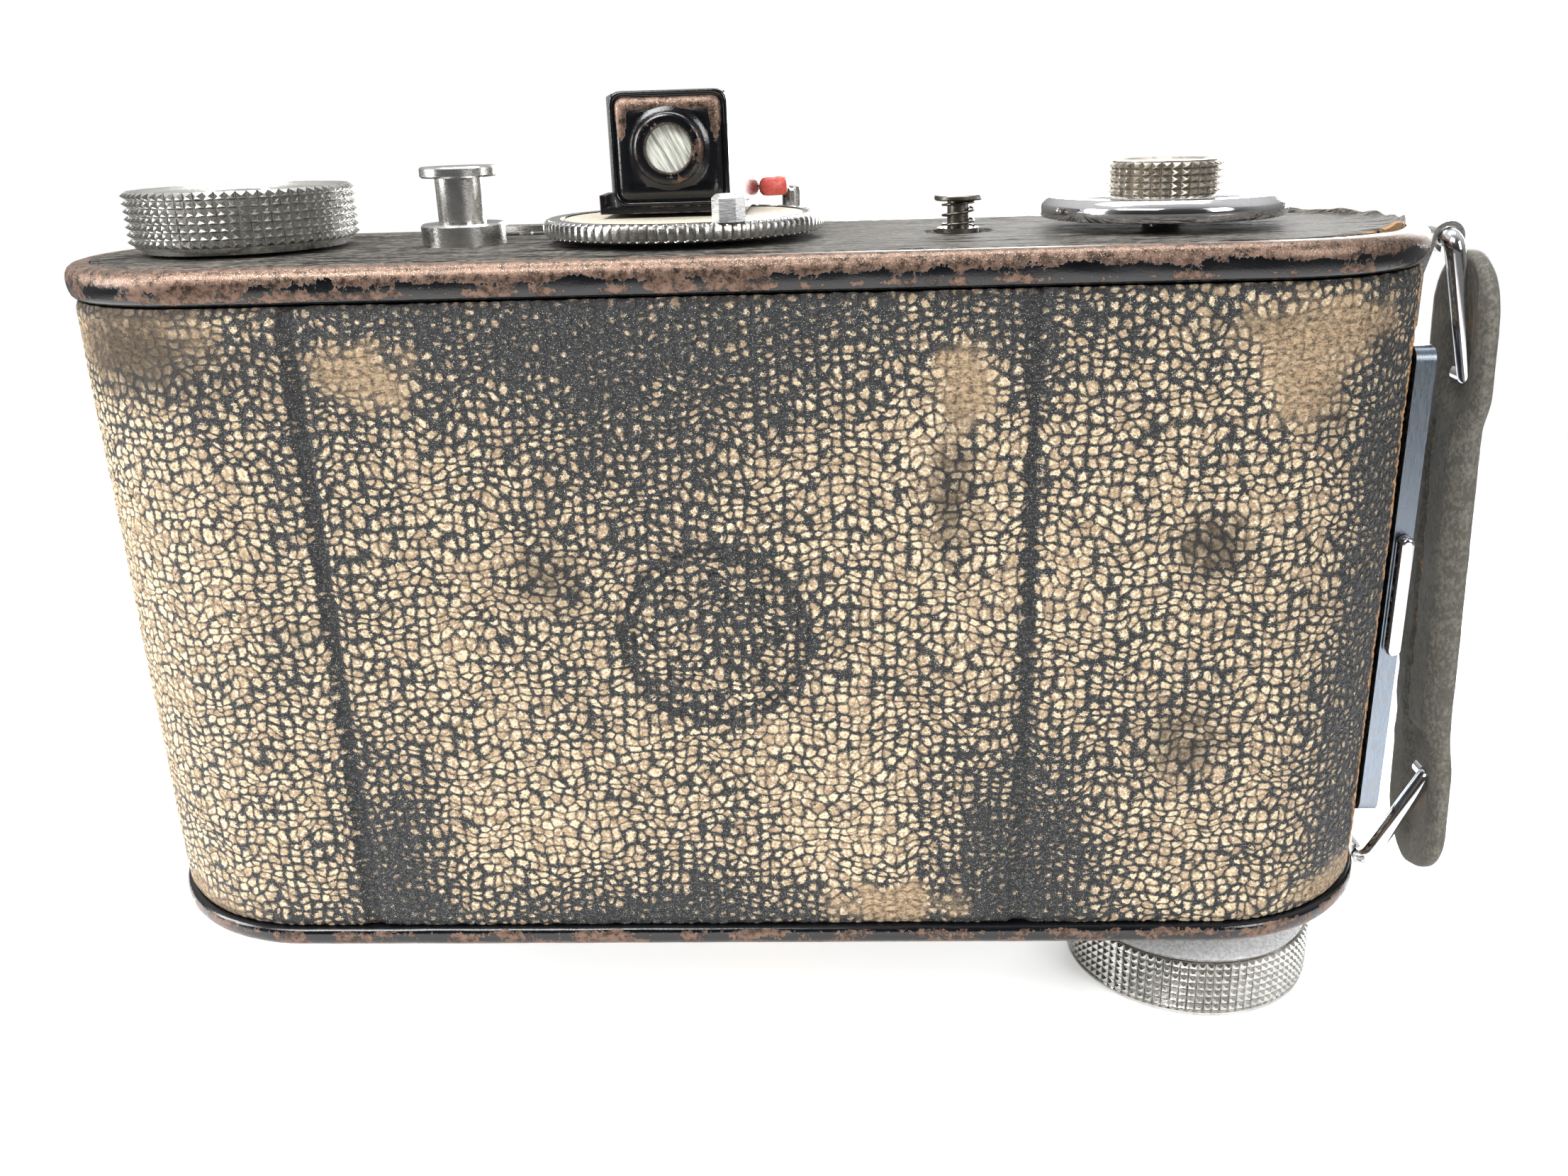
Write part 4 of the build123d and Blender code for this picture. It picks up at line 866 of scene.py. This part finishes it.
def tube(name, path, radius, material, body, sides=10, **more):
    """A round wire along a list of points."""
    points = [Vector(p) for p in path]
    last = len(points) - 1
    verts = []
    guide = Vector((0.13, 0.29, 0.95))
    for i, p in enumerate(points):
        ahead = (points[min(i + 1, last)] - points[max(i - 1, 0)]).normalized()
        guide = (guide - ahead * guide.dot(ahead)).normalized()
        other = ahead.cross(guide)
        for k in range(sides):
            a = 2 * pi * k / sides
            verts.append(tuple(p + guide * radius * cos(a) + other * radius * sin(a)))
    rings = numbered(len(points), sides)
    faces = bridge(rings) + [rings[0][::-1], rings[-1]]
    return finish_mesh(name, verts, faces, material, body, **more)


def transport_spring():
    """A compression spring with closed ends, standing between the top plate and the pressed button."""
    radius, wire, low, high, turns = 1.5, 0.11, 68.35, 70.9, 3.2
    steps = int(turns * 28)
    path = []
    for i in range(steps + 1):
        t = i / steps
        a = 2 * pi * turns * t
        rise = smooth(t, 0.08, 0.92) * 0.6 + t * 0.4
        z = low + wire + (high - low - 2 * wire) * rise
        path.append((TRANSPORT_X + radius * cos(a), radius * sin(a), z))
    piece = tube("transport_spring_coil", path, wire, DULL_NICKEL, None, replaces="transport_spring",
                 slot="steel")
    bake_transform(piece)


def pointer():
    """A twisted silver strip from its post to a red sleeve, which is the signal flag."""
    post, tip = Vector((4.8, 14.6, 0)), Vector((3.2, 9.5, 0))
    up = Vector((0, 0, 1))
    ahead = (tip - post).normalized()
    across = Vector((-ahead.y, ahead.x, 0))
    verts, steps, half_wide, half_thick = [], 26, 0.62, 0.14
    for i in range(steps + 1):
        t = i / steps
        turn = 0.5 * pi * smooth(t, 0.35, 0.8)
        middle = post + (tip - post) * t + up * (71.6 + 0.55 * smooth(t, 0.3, 0.9))
        one = across * cos(turn) + up * sin(turn)
        two = ahead.cross(one)
        for a, b in ((-1, -1), (1, -1), (1, 1), (-1, 1)):
            verts.append(tuple(middle + one * half_wide * a + two * half_thick * b))
    rings = numbered(steps + 1, 4)
    faces = bridge(rings) + [rings[0][::-1], rings[-1]]
    arm = finish_mesh("pointer_arm", verts, faces, MIRROR_NICKEL, "pointer", replaces="signal_pointer",
                      slot="nickel")
    arm.modifiers.new("round edges", "BEVEL").width = 0.06 * MM
    stem = [(0, 68.55), (1.0, 68.55), (1.0, 71.3), (0.95, 71.85), (0.8, 71.9), (0, 71.9)]
    turned("pointer_post", stem, (*post.xy, 0), NICKEL, "pointer", steps=40, slot="nickel")
    verts, steps, half_long = [], 40, 1.45
    section = [(-0.42, -0.8), (0.0, -0.85), (0.42, -0.8), (0.56, -0.4), (0.58, 0.2), (0.44, 0.68),
               (0.1, 0.85), (-0.3, 0.8), (-0.5, 0.4), (-0.54, -0.3)]
    lean = Vector((0.94, 0.34, 0)).normalized()
    side = Vector((-lean.y, lean.x, 0))
    for i in range(steps + 1):
        t = 2 * i / steps - 1
        full = max((1 - min(abs(t), 1) ** 6) ** (1 / 3), 0.45)
        middle = tip + ahead * 0.1 + lean * half_long * t + side * 0.22 * t * t + up * 72.2
        for a, b in section:
            verts.append(tuple(middle + side * a * full * 1.15 + up * b * full * 1.1))
    rings = numbered(steps + 1, len(section))
    faces = bridge(rings) + [rings[0][::-1], rings[-1]]
    finish_mesh("pointer_flag", verts, faces, RED, "pointer", slot="red_signal", sharp=60)


# ---------------------------------------------------------------- carrying strap


def strap_half(s):
    """Half the strap's width at a place along it."""
    lobe = smooth(np.abs(s), STRAP_HALF - 17.5, STRAP_HALF - 13.0)
    half = STRAP_NARROW + (STRAP_WIDE - STRAP_NARROW) * lobe
    tip = np.clip(np.abs(s) - (STRAP_HALF - STRAP_WIDE), 0, STRAP_WIDE)
    return np.where(tip > 0, np.sqrt(np.clip(half**2 - tip**2, 0, None)), half)


def prism(name, outline, low, high):
    """A closed prism whose outline lies across X."""
    count = len(outline)
    verts = [(n * MM, y * MM, s * MM) for n in (low, high) for y, s in outline]
    faces = [tuple(range(count)), tuple(range(2 * count - 1, count - 1, -1))]
    faces += [(k, k + count, (k + 1) % count + count, (k + 1) % count) for k in range(count)]
    data = bpy.data.meshes.new(name)
    data.from_pydata(verts, [], faces)
    made = bpy.data.objects.new(name, data)
    bpy.context.scene.collection.objects.link(made)
    return made


def strap_blank():
    """The cut blank with its two slots, softened all over."""
    along = STRAP_HALF * np.sin(np.linspace(-pi / 2, pi / 2, 120))
    sides = list(zip(strap_half(along), along))
    outline = sides + [(-h, s) for h, s in sides[-2:0:-1]]
    blank = prism("strap_work", outline, -STRAP_THICK, STRAP_THICK)
    cutters = []
    straight = SLOT_HALF_LONG - SLOT_HALF_WIDE
    for at in STRAP_SLOTS:
        slot = []
        for k in range(48):
            c, s = cos(2 * pi * k / 48), sin(2 * pi * k / 48)
            end = at + (straight if s >= 0 else -straight)
            slot.append((SLOT_MIDDLE + SLOT_HALF_WIDE * c, end + SLOT_HALF_WIDE * s))
        cutters.append(prism("slot_work", slot, -3, 3))
        cut = blank.modifiers.new("slot", "BOOLEAN")
        cut.operation, cut.object, cut.solver = "DIFFERENCE", cutters[-1], "EXACT"
    remesh = blank.modifiers.new("voxels", "REMESH")
    remesh.mode, remesh.voxel_size = "VOXEL", 0.28 * MM
    calm = blank.modifiers.new("calm", "SMOOTH")
    calm.factor, calm.iterations = 0.5, 6
    made = bpy.data.meshes.new_from_object(blank.evaluated_get(bpy.context.evaluated_depsgraph_get()))
    for work in (blank, *cutters):
        bpy.data.objects.remove(work)
    return made


def hung(n, s):
    """X and Z of a point that lies n out from the strap's middle and s along it."""
    c, t = cos(STRAP_LEAN), sin(STRAP_LEAN)
    return STRAP_X + n * c - s * t, STRAP_Z + n * t + s * c


def strap():
    """Two soft layers sewn together: the blank domed, grooved along its seam and dented."""
    made = strap_blank()
    flat = np.empty(len(made.vertices) * 3)
    made.vertices.foreach_get("co", flat)
    n, y, s = (flat.reshape(-1, 3) / MM).T
    inside = strap_half(s) - np.abs(y)
    for at in STRAP_SLOTS:
        past = np.clip(np.abs(s - at) - (SLOT_HALF_LONG - SLOT_HALF_WIDE), 0, None)
        inside = np.minimum(inside, np.clip(np.hypot(y - SLOT_MIDDLE, past) - SLOT_HALF_WIDE, 0, None))
    crown = np.sqrt(np.clip(inside / 1.5, 0.03, 1.0))
    groove = np.exp(-(((y - SEAM_Y) / 0.35) ** 2)) * smooth(np.abs(s), 17.5, 16.0) * (n < 0)
    dents = 0.10 * ripple(y, s, 0.28, 3.0) + 0.05 * ripple(y, s, 0.9, 5.0)
    n = n * (0.34 + 0.66 * crown) + 0.34 * groove + dents * crown
    n = np.where(n < 0, n * (1 + 0.85 * smooth(np.abs(s), 22.0, 14.0) * crown), n)
    x, z = hung(n, s)
    made.vertices.foreach_set("co", (np.stack([x, y, z], -1) * MM).reshape(-1))
    slots = spots(y, s, [(1, (SLOT_MIDDLE, at), (3.4, 7.6)) for at in STRAP_SLOTS])
    worn = np.clip(slots * (0.42 + 0.4 * ripple(y, s, 0.5, 8.0)), 0, 1)
    made.attributes.new("raw", "FLOAT", "POINT").data.foreach_set("value", worn.astype(np.float32))
    made.name = "strap_soft"
    made.materials.clear()
    place("strap_soft", made, STRAP_LEATHER, "carrying_strap", replaces="strap", slot="strap_leather",
          sharp=60)
    pitch, count, half_long = 3.1, 10, 1.15
    for i in range(count):
        middle, path = (i - (count - 1) / 2) * pitch, []
        for k in range(9):
            u = k / 8 * 2 - 1
            x, z = hung(-STRAP_THICK * 1.85 + 0.5 - 0.14 * (1 - u**2), middle + half_long * u)
            path.append((x, SEAM_Y + 0.05 * u, z))
        tube(f"strap_stitch_{i + 1}", path, 0.16, THREAD, "carrying_strap", sides=8, slot="strap_leather")


def rounded_path(points, radii):
    """Straight runs joined by smooth bends."""
    points = [Vector(p) for p in points]
    path, steps = [points[0]], 10
    for before, corner, after, radius in zip(points, points[1:], points[2:], radii):
        back, ahead = (before - corner).normalized(), (after - corner).normalized()
        reach = radius / max(sqrt((1 - back.dot(ahead)) / max(1 + back.dot(ahead), 1e-6)), 1e-3)
        reach = min(reach, (before - corner).length * 0.48, (after - corner).length * 0.48)
        start, end = corner + back * reach, corner + ahead * reach
        for k in range(steps + 1):
            t = k / steps
            path.append(start * (1 - t) ** 2 + corner * 2 * t * (1 - t) + end * t**2)
    return path + [points[-1]]


def strap_links():
    """The two wire hooks, each from its lug to a foot that turns over inside the strap."""
    for name, body, (lug_x, lug_z), (foot_x, foot_z) in (
        ("link_top", "upper_link", (67.7, 66.3), (71.1, 53.1)),
        ("link_bottom", "lower_link", (66.95, -0.7), (72.7, 9.6)),
    ):
        buried = STRAP_X - (foot_z - STRAP_Z) * sin(STRAP_LEAN) / cos(STRAP_LEAN) + 0.05
        corners = [(lug_x, 2.1, lug_z), (lug_x, -2.2, lug_z), (foot_x - 0.35, -2.2, foot_z),
                   (buried, -1.6, foot_z), (buried, 0.2, foot_z)]
        tube(name + "_wire", rounded_path(corners, [1.3, 1.2, 0.5]), 0.93, MIRROR_NICKEL, body, sides=20,
             replaces=name, slot="nickel", sharp=70)


# ---------------------------------------------------------------- front


def front_wear(u, v):
    wear = 0.62 + 0.22 * ripple(u, v, 0.06, 21.0) + 0.14 * ripple(u, v, 0.21, 24.0)
    return np.clip(wear - 0.5 * smooth(v, 58.0, 64.0) + spots(u, v, FRONT_RUBBED), 0.0, 1.1)


def front_bald(u, v):
    return np.clip(spots(u, v, FRONT_BALD), 0, 1)


def front_rim_shade(u, v):
    # painted shade: darker in a band under the top rim and above the bottom rim
    return np.clip(0.6 * smooth(v, 63.4, 64.6) + 0.4 * (1 - smooth(v, 2.3, 3.6)), 0, 1)


def front_leather():
    """The fixed leather of the front and its ends, in four strips round the opening."""
    left, right, low, high = OPENING
    strips = {"left": (FRONT_LEFT, left, WALL_LOW, WALL_HIGH),
              "right": (right, FRONT_RIGHT, WALL_LOW, WALL_HIGH),
              "low": (left, right, WALL_LOW, low),
              "top": (left, right, high, WALL_HIGH)}
    worn = {"wear": front_wear, "bald": front_bald, "stains_and_rim_shade": front_rim_shade}
    step = 0.42

    def outer(u, v):
        radius = WALL_R - 0.02 + 0.06 * ripple(u, v, 0.09, 31.0) - 0.25 * tucked(v)
        return *wall_point(u, radius, True), v

    def inner(u, v):
        return *wall_point(u, WALL_R - LEATHER_THICK, True), v

    for side, (u0, u1, v0, v1) in strips.items():
        us = np.linspace(u0, u1, int((u1 - u0) / step) + 2)
        vs = np.linspace(v0, v1, int((v1 - v0) / step) + 3)
        piece = skin("front_leather_" + side, us, vs, outer, inner, LEATHER_FRONT, "root", attributes=worn,
                     replaces="front_leather", slot="grained_leather", sharp=60)
        pebble_relief(piece, True)


def folded_bellows():
    """A pleated tube of thin leather between the body and the front plate, one ring per fold."""
    rings, steps, y0, y1, pleat, thick = 25, 112, -7.8, 16.9, 1.9, 0.35
    shell = []
    for i in range(rings):
        t = i / (rings - 1)
        inset = pleat * (i % 2)
        shell.append((22 - 6 * t - inset, 17.5 - 2.5 * t - inset, y0 + (y1 - y0) * t))
    shell += [(a - thick, b - thick, y) for a, b, y in shell[::-1]]
    verts = []
    for half_wide, half_high, y in shell:
        for x, z in rounded_rectangle(half_wide, half_high, 2.2, steps):
            verts.append((LENS_X + x, y, LENS_Z + z))
    faces = bridge(numbered(len(shell), steps), closed=True)
    piece = finish_mesh("bellows_pleated", verts, faces, BELLOWS_LEATHER, None, replaces="bellows",
                        slot="bellows_cloth", sharp=0)
    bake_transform(piece)


def figure(name, text, size, radius, angle, y, material, body):
    """A small raised number that faces forward, its foot towards the lens axis."""
    curve = bpy.data.curves.new(name, "FONT")
    curve.body, curve.size, curve.extrude = text, size * MM, 0.03 * MM
    curve.align_x, curve.align_y, curve.resolution_u = "CENTER", "CENTER", 3
    work = bpy.data.objects.new(name + "_work", curve)
    bpy.context.scene.collection.objects.link(work)
    data = bpy.data.meshes.new_from_object(work.evaluated_get(bpy.context.evaluated_depsgraph_get()))
    bpy.data.objects.remove(work)
    up, forward = Vector((cos(radians(angle)), 0, sin(radians(angle)))), Vector((0, 1, 0))
    turn = Matrix((up.cross(forward), up, forward)).transposed().to_4x4()
    middle = Vector((LENS_X, y, LENS_Z)) + up * radius
    data.transform(Matrix.Translation(middle * MM) @ turn)
    data.materials.clear()
    place(name, data, material, body, slot="nickel")


def screw(name, centre, radius, low, high, body, turn=0.5):
    """A slotted screw head that faces forward: a disc with two half-rounds standing on it."""
    verts, faces = [], []
    slot, disc_steps, half_steps = 0.16 * radius, 40, 20

    def stack(layers):
        rings = []
        for points, y in layers:
            rings.append(list(range(len(verts), len(verts) + len(points))))
            for a, b in points:
                x, z = a * cos(turn) - b * sin(turn), a * sin(turn) + b * cos(turn)
                verts.append((centre[0] + x, y, centre[1] + z))
        faces.extend(bridge(rings) + [rings[0][::-1], rings[-1]])

    def arc(r, start, end, steps, side=1):
        angles = [start + (end - start) * k / steps for k in range(steps + 1)]
        return [(r * cos(a), side * r * sin(a)) for a in angles]

    def half_round(r, side):
        start = asin(slot / r)
        return arc(r, start, pi - start, half_steps, side)

    floor = low + (high - low) * 0.35
    disc = arc(radius, 0, 2 * pi, disc_steps)[:-1]
    stack([(disc, low), (disc, floor)])
    for side in (1, -1):
        full = half_round(radius, side)
        stack([(full, floor), (full, high - 0.12), (half_round(radius * 0.86, side), high)])
    finish_mesh(name, verts, faces, NICKEL, body, slot="steel", sharp=30)


def lens_front():
    """The detailed rings, figures and screws of the shutter and lens. A profile's points are (radius, y,
    depth of flutes)."""
    centre = (LENS_X, 0, LENS_Z)
    focus = [(10.55, 26.8), (14.2, 26.8), (14.5, 27.1, 0.32), (14.5, 29.0, 0.32), (14.2, 29.3), (12.2, 29.3),
             (12.1, 29.2), (10.55, 29.2)]
    turned("focus_ring_fluted", focus, centre, ENAMEL_SOUND, "focus", axis="y", waves=64,
           replaces="focus_ring", slot="black_enamel", sharp=28)
    bezel = [(8.5, 29.5), (12.0, 29.5), (12.0, 31.1), (11.85, 31.5), (11.4, 31.75), (10.9, 31.8),
             (10.3, 31.78), (10.2, 31.55), (10.0, 31.55), (9.9, 31.7), (9.5, 31.5), (9.1, 30.9), (8.5, 30.75)]
    turned("front_bezel_turned", bezel, centre, MIRROR_NICKEL, "standard", axis="y", steps=144,
           replaces="front_bezel", slot="nickel")
    speed = [(10.55, 24.8), (16.3, 24.8), (16.5, 24.95, 0.2), (16.5, 25.9, 0.2), (16.2, 26.3), (16.0, 26.4),
             (10.55, 26.4)]
    turned("speed_ring_milled", speed, centre, NICKEL, "speed", axis="y", waves=110, replaces="speed_ring",
           slot="nickel", sharp=28)
    for i, text in enumerate(("T", "B", "1", "2", "5", "10", "25", "50", "100")):
        figure("speed_figure_" + text, text, 1.25, 15.3, 160 - 17 * i, 26.41, SATIN_BLACK, "speed")
    for i, text in enumerate(("4.5", "6.3", "9", "12", "18", "25")):
        name = "stop_figure_" + text.replace(".", "_")
        figure(name, text, 1.9, 18.8, 232 + 15 * i, 24.6, WHITE, "standard")
    for i, angle in enumerate((0, 25, 100, 180)):
        place_at = (LENS_X + 18.9 * cos(radians(angle)), LENS_Z + 18.9 * sin(radians(angle)))
        screw(f"shutter_screw_{i + 1}", place_at, 0.95, 24.5, 24.95, "standard", 0.4 + i)
    for i, (dx, dz) in enumerate(((-1, -1), (1, -1), (1, 1), (-1, 1))):
        place_at = (LENS_X + 26 * dx, LENS_Z + 24 * dz)
        screw(f"standard_screw_{i + 1}", place_at, 1.3, 18.4, 18.95, "standard", 0.9 * i)


# ---------------------------------------------------------------- pieces kept from the CAD model


def carried_over():
    """Better materials on the CAD nodes that keep their own shape."""
    looks = {
        NICKEL: "release_button release_collar strap_lugs front_catch cocking_lever release_lever"
                " aperture_ring finder_housing",
        PIN_STEEL: "counter_pin",
        DULL_NICKEL: "transport_button transport_bush",
        MIRROR_NICKEL: "latch_slider opening_trim",
        STEEL: "side_plate",
        ENAMEL_SOUND: "finder_foot standard_plate shutter_housing",
        SATIN_BLACK: "chassis base_deck back_cover front_shell",
        EYE_GLASS: "finder_lenses",
        GLASS: "lens_elements",
        BRASS: "advance_gear sprocket_gear lens_barrel tripod_bush",
        PLAIN_STEEL: "advance_shaft rewind_shaft takeup_spool sprocket_roller pressure_plate leaf_springs"
                     " release_spring outer_struts inner_struts strut_brackets hinge_pin",
    }
    for material, nodes in looks.items():
        for name in nodes.split():
            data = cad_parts[name].data
            data.materials.clear()
            data.materials.append(material)


def soft_edges():
    """Small rounds on the edges of the CAD pieces that stay."""
    widths = {"release_button": 0.14, "release_collar": 0.14, "counter_pin": 0.22, "front_catch": 0.14,
              "side_plate": 0.1, "latch_slider": 0.16, "transport_button": 0.1, "transport_bush": 0.08,
              "finder_housing": 0.22, "finder_foot": 0.12, "shutter_housing": 0.3, "standard_plate": 0.2,
              "aperture_ring": 0.12}
    for name, width in widths.items():
        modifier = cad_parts[name].modifiers.new("soft edges", "BEVEL")
        modifier.width, modifier.segments, modifier.angle_limit = width * MM, 2, radians(50)
        modifier.use_clamp_overlap = True


# ---------------------------------------------------------------- stage


def camera():
    """The viewing place and direction, in the frame of the part."""
    yaw, pitch, roll = radians(-2.64), radians(19.51), radians(-1.77)
    forward = Vector((sin(yaw) * cos(pitch), cos(yaw) * cos(pitch), -sin(pitch)))
    level = Vector((cos(yaw), -sin(yaw), 0))
    upright = level.cross(forward)
    side = cos(roll) * level + sin(roll) * upright
    top = cos(roll) * upright - sin(roll) * level
    data = bpy.data.cameras.new("camera")
    data.lens, data.sensor_width, data.clip_start = 30.767, 36.0, 0.01
    seen = bpy.data.objects.new("camera", data)
    turn = Matrix((side, top, -forward)).transposed().to_4x4()
    seen.matrix_world = Matrix.Translation(Vector((9.56, -134.49, 79.26)) * MM) @ turn
    bpy.context.scene.collection.objects.link(seen)
    bpy.context.scene.camera = seen


def area_light(name, place_at, aim, size, power):
    """A white rectangle of light; places and sizes are metres."""
    data = bpy.data.lights.new(name, "AREA")
    data.shape, data.size, data.size_y = "RECTANGLE", size[0], size[1]
    data.energy = power
    lamp = bpy.data.objects.new(name, data)
    lamp.location = place_at
    lamp.rotation_euler = (Vector(aim) - Vector(place_at)).to_track_quat("-Z", "Y").to_euler()
    bpy.context.scene.collection.objects.link(lamp)


def ground():
    """A pale floor that glows to white with distance, so that no horizon shows."""
    data = bpy.data.meshes.new("floor")
    reach, z = 4.0, FLOOR_Z * MM
    corners = [(x * reach, y * reach, z) for x, y in ((-1, -1), (1, -1), (1, 1), (-1, 1))]
    data.from_pydata(corners, [], [(0, 1, 2, 3)])
    floor = bpy.data.objects.new("floor", data)
    m = Material("pale floor")
    away = m.node("ShaderNodeVectorMath", {0: m.position}, out=1, operation="LENGTH")
    shade = m.mix(m.step(away, 90.0, 330.0), (0.9, 0.9, 0.9, 1), (0, 0, 0, 1))
    m.set(Base_Color=shade, Roughness=0.9, Specular_IOR_Level=0.0)
    seen = m.step(m.node("ShaderNodeLightPath"), 0.0, 1.0, 0.22, 1.0)
    m.set(Emission_Color=(1, 1, 1, 1), Emission_Strength=m.times(m.step(away, 60.0, 330.0, 0.42, 1.0), seen))
    data.materials.append(m.data)
    bpy.context.scene.collection.objects.link(floor)


def surroundings():
    """Plain white to the eye, a softer sky to the object, darker in front of it and below."""
    world = bpy.data.worlds.new("studio")
    world.use_nodes = True
    bpy.context.scene.world = world
    g = Graph(world.node_tree)
    g.tree.nodes.clear()
    _, y, z = split(g, g.node("ShaderNodeTexCoord", out=0))
    sky = g.step(z, -0.1, 0.75, 0.24, 0.8)
    behind = g.step(y, -0.8, 0.1, 0.12, 1.0)
    light = g.node("ShaderNodeBackground", {0: (1, 1, 1, 1), 1: g.times(sky, behind)})
    plain = g.node("ShaderNodeBackground", {0: (1, 1, 1, 1), 1: 1.0})
    seen = g.node("ShaderNodeMixShader", {0: g.node("ShaderNodeLightPath", out=0), 1: light, 2: plain})
    g.node("ShaderNodeOutputWorld", {0: seen})


def studio():
    ground()
    surroundings()
    area_light("key", (-0.22, -0.32, 0.48), (0, 0, 0.03), (0.34, 0.22), 4.2)
    area_light("left", (-0.5, -0.12, 0.2), (-0.03, 0, 0.03), (0.2, 0.3), 3.0)
    area_light("fill", (0.42, -0.42, 0.3), (0, 0, 0.03), (0.2, 0.3), 2.2)
    area_light("back wall", (0.34, 0.75, 0.16), (0, 0, 0.06), (0.7, 0.4), 13.0)
    area_light("top strip", (0.0, 0.1, 0.6), (0, 0, 0.05), (0.5, 0.2), 3.4)
    bpy.context.scene.view_settings.view_transform = "Standard"


camera()
rims()
top_leather()
bottom_leather()
pebble_relief(back_leather(), False)
knobs()
finder_cap()
transport_spring()
pointer()
strap()
strap_links()
front_leather()
folded_bellows()
lens_front()
carried_over()
soft_edges()
studio()
